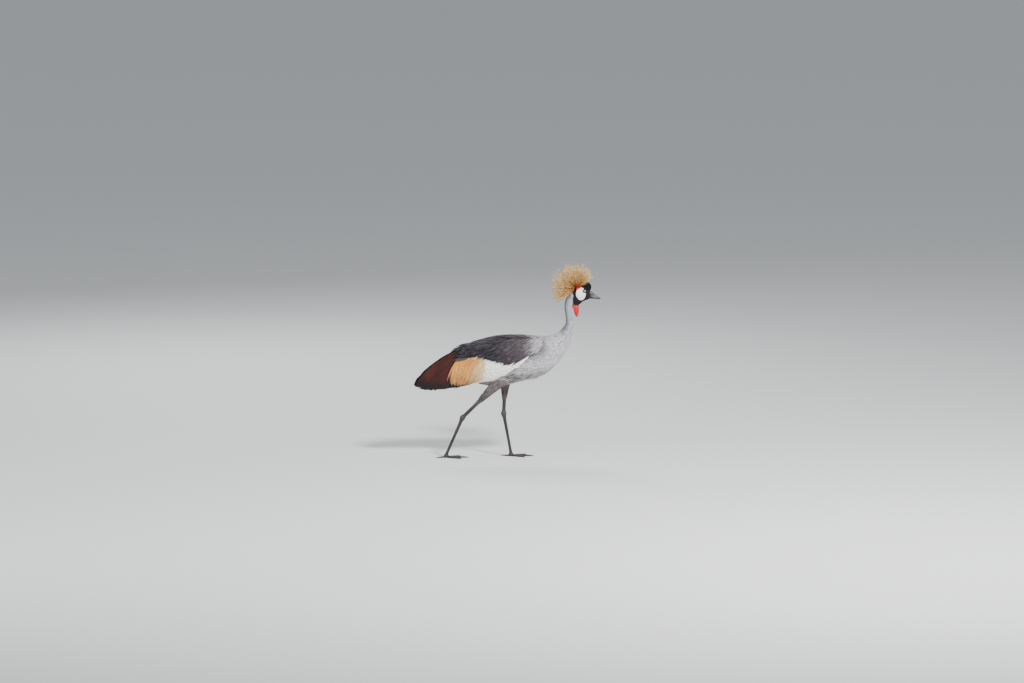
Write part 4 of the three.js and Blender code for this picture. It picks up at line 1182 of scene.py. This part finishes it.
white_finish = plumage("white_covert", 8, 0.7, 0.2, 0.16, shaft_tint=paint(225, 214, 190))
gold_finish = plumage("gold_plume", 5, 0.65, 0.25, 0.3)
chestnut_finish = plumage("chestnut_quill", 9, 0.55, 0.05, 0.3, shaft_tint=paint(30, 14, 10))
slate_finish = plumage("slate_feather", 8, 0.62, 0.03, 0.35)
black_finish = plumage("black_quill", 9, 0.5, 0.05, 0.3, shaft_tint=paint(10, 9, 10))

for name, side in (("left", 1), ("right", -1)):
    # Coverts: short round feathers near the shoulder, larger ones behind, all lying towards the tail
    rows = []
    for x in np.arange(116, -128, -8.5):
        room = slate_line(x) + np.interp(x, [60, 116], [44, 10]) - wing_line(x)
        beside = np.interp(x, [-120, 60, 116], [11, 9, 5])
        count = max(2, int(room / beside))
        v = (np.arange(count) + 0.5 * (len(rows) % 2) + draw.uniform(-0.25, 0.25, count)) / count
        rows.append(np.stack([x + draw.uniform(-2, 2, count), wing_line(x) + 3 + v * (room - 4)], -1))
    root = np.concatenate(rows)
    count = len(root)
    length = np.interp(root[:, 0], [-120, 20, 90, 118], [74, 62, 40, 26]) * draw.uniform(0.9, 1.1, count)
    fall = np.interp(root[:, 0], [-120, 0, 118], [0.5, 0.42, 0.72]) + draw.normal(0, 0.05, count)
    end = root - np.stack([length * np.cos(fall), length * np.sin(fall)], -1)
    end[:, 1] = np.maximum(end[:, 1], wing_line(end[:, 0]) + draw.uniform(-7, 3, count))
    t = np.linspace(0, 1, 9)
    x, z = route(root, (root + end) / 2 + [0, -3], end, t)
    d = 1.2 + (0.9 + length[:, None] / 10) * t
    spine, out = lay_on_trunk(x, z, d, side)
    half = length[:, None] * 0.135 * profile(BLADE, t)
    made = vanes(spine, out, half, 0.5, cup=0.12, columns=5)
    white = blend(WHITE, CREAM, step(-80, -150, x))
    white = blend(white, GOLD, 0.8 * step(-130, -185, x))
    # Painted shade: each covert is darker towards its root
    root_shade = 0.80 + 0.20 * step(0, 0.5, t)[None, :, None]
    add_coat(
        f"wing_coverts_{name}", made, wing_bake(root[:, 0], root[:, 1], side),
        (white * root_shade * individual(count, 0.03))[:, :, None], white_finish, "white_plumage",
        [f"wing_coverts_{name}"],
    )

    # Gold plumes: long loose strands that hang from the hind coverts over the flight feathers
    count = 620
    v = np.clip((np.arange(count) + 0.5) / count + draw.normal(0, 0.03, count), 0, 1)
    h = draw.random(count) ** 0.8
    start_x = np.interp(v, [0, 1], [-90, -226])
    top = slate_line(start_x) + 5
    start = np.stack([start_x, top + (np.interp(v, [0, 1], [398, 450]) - top) * h], -1)
    length = draw.uniform(84, 148, count) * (1 - 0.3 * h)
    hang = np.interp(v, [0, 0.5, 1], [0.66, 0.5, 0.36]) + draw.normal(0, 0.08, count)
    end = start - length[:, None] * np.stack([np.sin(hang), np.cos(hang)], -1)
    lowest = np.interp(end[:, 0], [-276, -257, -223, -175, -141, -118], [352, 338, 346, 364, 374, 382])
    end[:, 1] = np.maximum(end[:, 1], lowest + draw.uniform(-5, 12, count))
    over = np.stack([start[:, 0] * 0.45 + end[:, 0] * 0.55 - 7, start[:, 1] * 0.6 + end[:, 1] * 0.4 + 7], -1)
    t = np.linspace(0, 1, 11)
    x, z = route(start, over, end, t)
    swing = draw.uniform(-1, 1, (count, 1)) * 3.2
    wiggle = swing * np.sin(np.pi * t * 1.6 + draw.uniform(0, 3, (count, 1))) * t
    layer = 3.5 * (1 - h[:, None]) + draw.uniform(0, 2.5, (count, 1))
    d = 5.0 + layer + (6.0 + draw.uniform(0, 3.5, (count, 1))) * t
    spine, out = lay_on_trunk(x + wiggle, z + 0.4 * wiggle, d, side)
    half = draw.uniform(1.5, 3.1, (count, 1)) * profile(LANCE, t)
    made = strands(spine, out, half, 0.1 + half * 0.14, cup=0.3)
    golden = np.broadcast_to(step(-0.05, 0.3, v)[:, None], x.shape) * step(-96, -134, x)
    gold = blend(CREAM, GOLD, golden)
    gold = blend(gold, GOLD_TIP, 0.5 * step(0.45, 1, t) * draw.random((count, 1)))
    # Painted shade: each plume is darker towards its root
    gold = gold * (0.74 + 0.26 * t[None, :, None]) * individual(count, 0.1)
    add_coat(
        f"wing_plumes_{name}", made, wing_bake(start[:, 0], start[:, 1], side),
        gold[:, :, None], gold_finish, "gold_plumage", [f"wing_plumes_{name}"],
    )

    # Inner flight feathers: broad chestnut vanes, the upper ones over the lower ones
    count = 17
    v = np.linspace(0, 1, count) + draw.uniform(-0.012, 0.012, count)
    start = np.stack([np.full(count, -150.0), np.interp(v, [0, 1], [440, 545])], -1)
    over = np.stack([np.interp(v, [0, 1], [-250, -305]), np.interp(v, [0, 1], [408, 506])], -1)
    end = np.stack([np.interp(v, [0, 1], [-322, -446]), np.interp(v, [0, 0.6, 1], [336, 337, 352])], -1)
    end += draw.normal(0, 3, end.shape)
    t = np.linspace(0, 1, 30)
    x, z = route(start, over, end, t)
    d = 2.5 + 6.5 * np.minimum(1, 2.2 * t) + 5.5 * v[:, None] * np.minimum(1, 2 * t)
    spine, out = lay_on_trunk(x, z, d, side)
    notches = 1 - 0.16 * (draw.random((count, 30)) > 0.86) * (t > 0.35)
    half = 18 * profile([[0, 0.3], [0.1, 0.6], [0.4, 1], [0.8, 1.0], [0.93, 0.78], [1, 0.22]], t) * notches
    made = vanes(spine, out, half, 0.7, cup=0.16, columns=11)
    brown = blend(CHESTNUT, DARK_CHESTNUT, step(0.78, 1.0, t)[None] * np.ones((count, 1)))
    brown = brown * individual(count, 0.14) * (0.8 + 0.35 * np.sin(9 * t + 5 * v[:, None])[..., None] ** 2)
    brown = blend(brown, FLIGHT_BLACK, 0.8 * step(392, 346, z))
    # The vanes carry painted shade, darker towards both edges
    add_coat(
        f"secondaries_{name}", made, wing_bake(start[:, 0] - 40 * v, start[:, 1], side),
        brown[:, :, None] * edge_shade(11, 0.6), chestnut_finish, "chestnut_plumage", [f"secondaries_{name}"],
    )

    # Outer flight feathers: black, showing below the chestnut ones
    count = 9
    v = np.linspace(0, 1, count)
    start = np.stack([np.full(count, -150.0), np.interp(v, [0, 1], [388, 436])], -1)
    over = np.stack([np.interp(v, [0, 1], [-245, -285]), np.interp(v, [0, 1], [356, 392])], -1)
    end = np.stack([np.interp(v, [0, 1], [-322, -412]), np.interp(v, [0, 1], [336, 338])], -1)
    x, z = route(start, over, end, t)
    d = 1.0 + 2.0 * np.minimum(1, 2 * t) + 1.6 * v[:, None] * np.minimum(1, 2 * t)
    spine, out = lay_on_trunk(x, z, d, side)
    half = 13.5 * profile([[0, 0.35], [0.15, 0.7], [0.4, 1], [0.85, 0.85], [1, 0.2]], t) * np.ones((count, 1))
    made = vanes(spine, out, half, 0.7, cup=0.14, columns=9)
    add_coat(
        f"primaries_{name}", made, wing_bake(start[:, 0] - 30 * v, start[:, 1], side),
        (FLIGHT_BLACK * individual(count, 0.12))[:, :, None], black_finish, "black_plumage",
        [f"primaries_{name}"],
    )

    # Scapulars: long narrow slate feathers in rows over the shoulder and the back, short and pale in
    # front, which droop over the wing's upper half and end along its white band
    rows = []
    for x in np.arange(196, -158, -6.0):
        reach = np.interp(x, SCAPULAR_X, SCAPULAR_REACH)
        lowest = max(slate_line(x) + 7, slate_line(x - reach) + 9, np.interp(x, [118, 196], [500, 566]))
        low, high = float(angle_at(np.array(x), lowest)), np.radians(83)
        _, _, wide = smooth(TRUNK, np.array(x))
        count = max(3, int((high - low) * wide * 1.1 / 8.6))
        v = (np.arange(count) + 0.5 * (len(rows) % 2) + draw.uniform(-0.3, 0.3, count)) / count
        rows.append(np.stack([x + draw.uniform(-3, 3, count), low + (high - low) * v, v], -1))
    x0, phi0, v = np.concatenate(rows).T
    count = len(x0)
    reach = np.interp(x0, SCAPULAR_X, SCAPULAR_REACH) * draw.uniform(0.86, 1.14, count)
    z0 = on_trunk(x0, phi0, 0 * x0, side)[0][:, 2]
    fall = np.interp(x0, [-150, 0, 120, 196], [0.42, 0.56, 0.8, 0.62]) * (1 - 0.55 * v)
    fall = fall + draw.normal(0, 0.05, count)
    end = np.stack([x0 - reach * np.cos(fall), z0 - reach * np.sin(fall)], -1)
    limit = slate_line(end[:, 0]) + draw.uniform(-5, 4, count)
    end[:, 1] = np.maximum(end[:, 1], limit)
    start = np.stack([x0, z0], -1)
    t = np.linspace(0, 1, 10)
    x, z = route(start, (start + end) / 2 + np.array([0.05, 0.06]) * reach[:, None], end, t)
    d = 1.2 + (0.11 + 0.025 * draw.random((count, 1))) * reach[:, None] * t + 2.5 * step(-40, -160, x)
    d -= 5.0 * step(130, 185, x0)[:, None] * (1 - 0.5 * t)
    d += 6.0 * step(-150, -230, x)
    spine, out = lay_on_trunk(x, z, d, side)
    half = (0.055 * reach * draw.uniform(0.8, 1.2, count))[:, None] * profile(LONG_BLADE, t)
    made = vanes(spine, out, half, 0.45, cup=0.22, columns=5)
    add_coat(
        f"scapulars_{name}", made, wing_bake(x0, z0, side), back_tint(x0, t, count)[:, :, None], slate_finish,
        "slate_plumage", [f"scapulars_{name}"],
    )


# The mantle and the rump
# Slate feathers along the middle of the back, over the roots of the scapulars, and darker ones
# behind them that close the body between the wings, above and below the tail.
count = 400
x0 = 206 - 366 * (np.arange(count) + 0.5) / count + draw.normal(0, 4, count)
phi0 = np.radians(draw.uniform(72, 108, count))
reach = np.interp(x0, [-150, 60, 206], [104, 86, 36]) * draw.uniform(0.85, 1.15, count)
t = np.linspace(0, 1, 10)
x = x0[:, None] - reach[:, None] * t
phi = phi0[:, None] + np.radians(draw.normal(0, 4, (count, 1))) * t - 0.10 * (np.pi / 2 - phi0[:, None]) * t
d = 1.2 + (0.115 + 0.02 * draw.random((count, 1))) * reach[:, None] * t
d -= 5.0 * step(130, 185, x0)[:, None] * (1 - 0.5 * t)
spine, out = on_trunk(x, phi, d, 1)
half = (0.066 * reach * draw.uniform(0.8, 1.2, count))[:, None] * profile(LONG_BLADE, t)
made = vanes(spine, out, half, 0.45, cup=0.2, columns=5)
add_coat(
    "mantle", made, np.stack([0.03 + 0.92 * (x0 + 440) / TRUNK_SPAN, phi0 / 6.3], -1),
    back_tint(x0, t, count)[:, :, None], slate_finish, "slate_plumage", ["mantle"],
)

count = 420
x0 = draw.uniform(-330, -100, count)
below = draw.random(count) < 0.5
phi0 = np.radians(np.where(below, draw.uniform(-155, -25, count), draw.uniform(50, 130, count)))
reach = draw.uniform(70, 100, count)
x = np.maximum(x0[:, None] - reach[:, None] * t, -425)
vent = step(-0.55, -0.9, np.sin(phi0)) * step(-210, -140, x0)
d = -8 + 7 * t + 15 * vent[:, None] * t
spine, out = on_trunk(x, phi0[:, None] + 0 * x, d, 1)
half = draw.uniform(5.5, 8.5, (count, 1)) * profile(BLADE, t) * np.interp(x0, [-330, -150], [0.6, 1])[:, None]
made = vanes(spine, out, half, 0.45, cup=0.15, columns=5)
dark = blend(FLIGHT_BLACK, SHADE_DARK_GREY, np.broadcast_to(step(-160, -90, x0)[:, None], x.shape))
dark = dark * individual(count, 0.15)
add_coat(
    "rump_feathers", made, np.stack([0.03 + 0.92 * (x0 + 440) / TRUNK_SPAN, np.mod(phi0, 6.28) / 6.3], -1),
    dark[:, :, None], black_finish, "black_plumage",
)


# The tail
# Twelve black flight feathers, stacked in a slight fan and nearly hidden by the folded wings.
count = 12
order = np.arange(count) - (count - 1) / 2
t = np.linspace(0, 1, 24)
x = -200 + (-416 + 200 + 6 * np.abs(order)[:, None]) * t
y = order[:, None] * (0.9 + 1.1 * t)
z = 452 + (362 - 452) * t + 12 * np.sin(np.pi * t) - 1.5 * np.abs(order)[:, None]
spine = np.stack([x, y + 0 * x, z], -1)
out = unit(np.stack([0.35 + 0 * x, 0.10 * order[:, None] + 0 * x, 1 + 0 * x], -1))
half = 10.5 * profile([[0, 0.4], [0.3, 0.9], [0.7, 1], [0.92, 0.8], [1, 0.3]], t) * np.ones((count, 1))
made = vanes(spine, out, half, 0.7, cup=0.1, columns=9)
add_coat(
    "tail", made, np.stack([0.05 + 0 * order, 0.3 + 0.01 * order], -1),
    (FLIGHT_BLACK * individual(count, 0.1))[:, :, None], black_finish, "black_plumage", ["tail"],
)


# Legs and feet
# Long bare legs in dark horny skin: overlapping plates across the front, small scales on the sides
# and on the hocks, and three toes forward with a short one behind. The thighs are feathered.
LEGS = {
    "left": {"side": 1, "knee": (2, 402), "hock": (-7, 211), "foot": (29, 14), "foot_out": 24},
    "right": {"side": -1, "knee": (-14, 392), "hock": (-209, 199), "foot": (-289, 14), "foot_out": 30},
}
HIP_OUT = 40
THIGH_SHARE = 0.66
TOES = {"middle": (88, 0.0), "inner": (64, -0.62), "outer": (70, 0.6), "hind": (30, np.pi - 0.25)}
LEG_DARK = paint(34, 31, 35)
# A paler brownish grey painted on as highlight: the leg's front plates, the hock knobs, the toes' upper sides
# and a little over the pad
LEG_HIGHLIGHT = paint(94, 82, 80)
THIGH_GREY = paint(112, 100, 101)

leg_finish, tree, shader = new_finish("leg_scales", 0.5)
where = wire(tree, "ShaderNodeTexCoord").outputs["Object"]
scales = wire(tree, "ShaderNodeTexVoronoi", {"Vector": where, "Scale": 420.0}, feature="DISTANCE_TO_EDGE")
gap = wire(tree, "ShaderNodeMapRange", {0: scales.outputs["Distance"], 1: 0.0, 2: 0.14}).outputs[0]
dust = wire(tree, "ShaderNodeTexNoise", {"Vector": where, "Scale": 60.0, "Detail": 6.0}).outputs[0]
scaly = sums(tree, "MULTIPLY_ADD", gap, 0.45, 0.6)
dusty = sums(tree, "MULTIPLY_ADD", dust, 0.8, 0.6)
tree.links.new(tint_times(tree, sums(tree, "MULTIPLY", scaly, dusty)), shader.inputs["Base Color"])
tree.links.new(sums(tree, "MULTIPLY_ADD", dust, 0.3, 0.38), shader.inputs["Roughness"])
relief(tree, shader, 0.45, 0.0005, gap)


def leg_tube(knee, hock, foot):
    """Rings down the leg: a thigh that tapers into a slim shank, a knobbed hock and a slim tarsus with
    plates across its front, each a small step out from the next."""
    upper, lower = np.linalg.norm(hock - knee), np.linalg.norm(foot - hock)
    run = np.linspace(-14, upper + lower + 2, 640)
    above = knee + 14 * unit(knee - hock)
    stops = [-14, 0, upper, upper + lower, upper + lower + 10]
    line = np.stack([
        np.interp(run, stops, [above[k], knee[k], hock[k], foot[k], foot[k] + 10 * unit(foot - hock)[k]])
        for k in range(3)
    ], -1)
    window = np.hanning(31)
    padded = np.pad(line, ((15, 15), (0, 0)), mode="reflect", reflect_type="odd")
    line = np.stack([np.convolve(padded[:, k], window / window.sum(), "valid") for k in range(3)], -1)
    along = unit(np.gradient(line, axis=0))
    side = unit(np.array([0, 1.0, 0]) - along * along[:, 1:2])
    front = np.cross(side, along)
    turn = np.linspace(0, 2 * np.pi, 48, endpoint=False)
    share = np.clip(run / (upper * THIGH_SHARE), 0, 1)
    thigh_end = upper * THIGH_SHARE
    dome = np.sqrt(np.clip((run + 14.5) / 30, 0.02, 1))
    slim_stops = [thigh_end, upper, upper + lower]
    deep = np.where(run < thigh_end, 33 - 24 * share**0.72, np.interp(run, slim_stops, [9, 9, 7]))
    wide = np.where(run < thigh_end, 27 - 19 * share**0.72, np.interp(run, slim_stops, [8, 8, 6.2]))
    deep, wide = deep * dome, wide * dome
    knob = np.exp(-((run - upper - 1) / 12.5) ** 2)
    slim = 0.8 * np.sin(np.pi * np.clip((run - upper) / lower, 0, 1))
    deep = deep + 4.8 * knob - slim
    wide = wide + 4.0 * knob - 0.9 * slim
    flare = step(upper + lower - 26, upper + lower, run) * 1.5
    deep, wide = deep + flare, wide + flare
    plate = 4.6
    saw = 1 - np.mod(run / plate, 1)
    bare = step(thigh_end - 6, thigh_end + 6, run) * (1 - 0.75 * knob)
    facing = step(-0.1, 0.55, np.sin(turn))[None]
    raised = 0.42 * (saw**3)[:, None] * facing * bare[:, None]
    creases = 0.25 * np.sin(run[:, None] * 2.4 + 6 * np.sin(2 * turn)[None]) * knob[:, None]
    rings = (
        line[:, None]
        + side[:, None] * ((wide[:, None] + raised + creases) * np.cos(turn))[..., None]
        + front[:, None] * ((deep[:, None] + raised + creases) * np.sin(turn))[..., None]
    )
    seam = np.exp(-(np.mod(run / plate, 1) / 0.14) ** 2)[:, None] * facing * bare[:, None]
    patchy = (0.5 + 0.5 * np.sin(run / 23))[:, None] ** 2
    # Painted highlight on the front plates and the hock knob
    light = 0.55 * facing * bare[:, None] * patchy + 0.35 * knob[:, None]
    tint = blend(LEG_DARK, LEG_HIGHLIGHT, light)
    tint = blend(tint, LEG_DARK * 0.4, 0.7 * seam)
    # The thigh under its feathers is painted a darker grey, as shade between the feathers
    tint = blend(tint, THIGH_GREY * 0.7, (1 - step(thigh_end - 8, thigh_end + 2, run))[:, None] + 0 * turn)
    points, faces = tube_shape(rings)
    return points, faces, np.concatenate([tint.reshape(-1, 3), LEG_DARK[None], LEG_DARK[None]])


def toe_tube(foot, length, turn, radius):
    """Rings along a toe that rests on the ground: swollen at its joints, plated above, flat below."""
    way = np.array([np.cos(turn), np.sin(turn), 0])
    beside = np.array([-way[1], way[0], 0])
    t = np.linspace(0, 1, 120)
    joints = 3 if length > 40 else 1
    r = radius * (1 - 0.34 * t) * (1 - 0.08 * np.cos(2 * np.pi * joints * t))
    r = r * np.sqrt(np.clip((1.01 - t) / 0.07, 0.05, 1))
    lift = radius * (0.74 - 0.24 * t)
    around = np.linspace(0, 2 * np.pi, 32, endpoint=False)
    saw = 1 - np.mod(t * length / 3.6, 1)
    over = step(0.1, 0.7, np.sin(around))[None]
    r_all = r[:, None] + 0.3 * (saw**3)[:, None] * over
    middle = foot * [1, 1, 0] + way * (4 + (length + 6) * t)[:, None]
    rings = middle[:, None] + beside * (r_all * np.cos(around))[..., None]
    rings[..., 2] = np.maximum(lift[:, None] + r_all * np.sin(around), 0)
    seam = np.exp(-(np.mod(t * length / 3.6, 1) / 0.16) ** 2)[:, None] * over
    # Painted highlight on the toe's upper side
    tint = blend(LEG_DARK, LEG_HIGHLIGHT, 0.35 * over * (0.5 + 0.5 * np.cos(6 * t))[:, None])
    tint = blend(tint, LEG_DARK * 0.4, 0.7 * seam)
    points, faces = tube_shape(rings)
    return points, faces, np.concatenate([tint.reshape(-1, 3), LEG_DARK[None], LEG_DARK[None]])


def foot_pad(foot):
    """The ball of the foot where the toes meet: a squashed sphere with a flat under side."""
    polar, turn = ring_grid(np.linspace(0.05, 3.09, 30), 40)
    rings = foot * [1, 1, 0] + np.stack([
        13 * np.sin(polar) * np.cos(turn),
        12 * np.sin(polar) * np.sin(turn),
        np.maximum(0, 9 + 10 * np.cos(polar)),
    ], -1)
    points, faces = tube_shape(rings)
    # The pad is mixed a little towards the painted highlight colour
    return points, faces, np.broadcast_to(blend(LEG_DARK, LEG_HIGHLIGHT, 0.2), points.shape)


def claw_tube(foot, length, turn, radius):
    """A blunt bent claw: rings that shrink as they bend down to the ground."""
    way = np.array([np.cos(turn), np.sin(turn), 0])
    beside = np.array([-way[1], way[0], 0])
    t = np.linspace(0, 1, 36)
    around = np.linspace(0, 2 * np.pi, 28, endpoint=False)
    deep = radius * 0.6 * (1 - 0.88 * t**1.2)
    wide = radius * 0.5 * (1 - 0.85 * t**1.2)
    middle = foot * [1, 1, 0] + way * (10 + length - 2 + 18 * t)[:, None]
    rings = middle[:, None] + beside * (wide[:, None] * np.cos(around))[..., None]
    lift = radius * 0.72 - (radius * 0.72 - 0.9) * t**1.7
    rings[..., 2] = np.maximum(lift[:, None] + deep[:, None] * np.sin(around), 0.15)
    return tube_shape(rings)


claw_finish = horn("claw_horn", 0.3, (500.0, 500.0, 900.0))
for name, leg in LEGS.items():
    side = leg["side"]
    knee = np.array([leg["knee"][0], side * HIP_OUT, leg["knee"][1]], float)
    hock = np.array([leg["hock"][0], side * (leg["foot_out"] + 6), leg["hock"][1]], float)
    foot = np.array([leg["foot"][0], side * leg["foot_out"], leg["foot"][1]], float)
    pieces = [leg_tube(knee, hock, foot), foot_pad(foot)]
    for toe, (length, turn) in TOES.items():
        pieces.append(toe_tube(foot, length, turn * side, 4.6 if toe == "hind" else 5.6))
    shape = join_shapes(*[(points, faces) for points, faces, _ in pieces])
    nodes = [f"{part}_{name}" for part in ("thigh", "shank", "hock", "tarsus", "foot")]
    nodes += [f"toe_{toe}_{name}" for toe in TOES]
    tint = np.concatenate([piece[2] for piece in pieces])
    add_piece(f"leg_{name}", shape, leg_finish, "leg_scutes", nodes, tint)
    for toe, (length, turn) in TOES.items():
        shape = claw_tube(foot, length, turn * side, 4.6 if toe == "hind" else 5.6)
        shine = np.broadcast_to(paint(38, 35, 37), shape[0].shape)
        add_piece(f"claw_{toe}_{name}", shape, claw_finish, "claw_horn", [f"claw_{toe}_{name}"], shine)

    # Thigh feathers: dark grey, lying down the leg, short and close at their lower end
    count = 760
    u = draw.random(count) ** 0.6
    along = (hock - knee) / np.linalg.norm(hock - knee)
    across = unit(np.array([0, 1.0, 0]) - along * along[1])
    front = np.cross(across, along)
    turn = draw.uniform(0, 2 * np.pi, count)
    t = np.linspace(0, 1, 7)
    reach = np.interp(u, [0, 1], [15, 46]) * draw.uniform(0.85, 1.15, count)
    thigh_length = np.linalg.norm(hock - knee) * THIGH_SHARE
    run = (thigh_length * 0.92 + 30) * (1 - u)[:, None] - 30 + reach[:, None] * t
    share = np.clip(run / thigh_length, 0, 1.15)
    puff = (1.2 + 3.2 * t) * np.interp(share, [0, 1.1], [1, 0.35])
    sunk = np.sqrt(np.clip((run + 31) / 48, 0.02, 1))
    deep = (33 - 24 * np.minimum(share, 1) ** 0.72 + puff) * sunk
    wide = (27 - 19 * np.minimum(share, 1) ** 0.72 + puff) * sunk
    out = across * np.cos(turn)[:, None, None] + front * np.sin(turn)[:, None, None]
    spine = knee + along * run[..., None] + across * (wide * np.cos(turn)[:, None])[..., None]
    spine = spine + front * (deep * np.sin(turn)[:, None])[..., None]
    half = np.interp(reach, [15, 46], [1.6, 4.4])[:, None] * profile(LANCE, t)
    made = strands(spine, np.broadcast_to(out, spine.shape), half, 0.1 + half * 0.15, cup=0.25)
    # Painted shade: each thigh feather is darker towards its root
    dark = blend(THIGH_GREY, THIGH_GREY * 0.3, step(0.35, 1.0, share)) * (0.6 + 0.45 * t[None, :, None])
    dark = dark * individual(count, 0.15)
    add_coat(
        f"thigh_feathers_{name}", made, np.stack([0.5 + side * (0.1 + 0.3 * u), turn / 6.4], -1),
        dark[:, :, None], grey_finish, "grey_plumage",
    )


# Floor and light
# A plain pale floor under soft studio lights: a broad key from the front right, a fill and a rim.
floor_mesh = bpy.data.meshes.new("floor")
reach = 60
corners = [(-reach, -reach, 0), (reach, -reach, 0), (reach, reach, 0), (-reach, reach, 0)]
floor_mesh.from_pydata(corners, [], [(0, 1, 2, 3)])
floor = bpy.data.objects.new("floor", floor_mesh)
bpy.context.scene.collection.objects.link(floor)
floor_finish, tree, shader = new_finish("floor", 0.9)
shader.inputs["Base Color"].default_value = (0.68, 0.69, 0.68, 1)
floor_mesh.materials.append(floor_finish)

for name, place, size, power in (
    ("key", (3.0, -4.4, 4.8), 1.1, 760),
    ("fill", (-4.0, -3.6, 2.6), 3.0, 90),
    ("rim", (-2.0, 4.5, 4.0), 2.0, 200),
):
    light = bpy.data.objects.new(name, bpy.data.lights.new(name, "AREA"))
    light.data.energy = power
    light.data.size = size
    light.location = place
    light.rotation_euler = (Vector((0, 0, 0.5)) - Vector(place)).to_track_quat("-Z", "Y").to_euler()
    bpy.context.scene.collection.objects.link(light)

# The room is paler to look at than it shines, as a lit white wall is
world = bpy.data.worlds.new("world")
world.use_nodes = True
tree = world.node_tree
room = tree.nodes["Background"]
room.inputs["Color"].default_value = (0.9, 0.94, 1.0, 1)
room.inputs["Strength"].default_value = 0.5
wall = wire(tree, "ShaderNodeBackground", {"Color": (0.93, 0.94, 0.94, 1), "Strength": 0.85})
seen = wire(tree, "ShaderNodeLightPath").outputs["Is Camera Ray"]
either = wire(tree, "ShaderNodeMixShader", {0: seen, 1: room.outputs[0], 2: wall.outputs[0]})
tree.links.new(either.outputs[0], tree.nodes["World Output"].inputs["Surface"])
bpy.context.scene.world = world
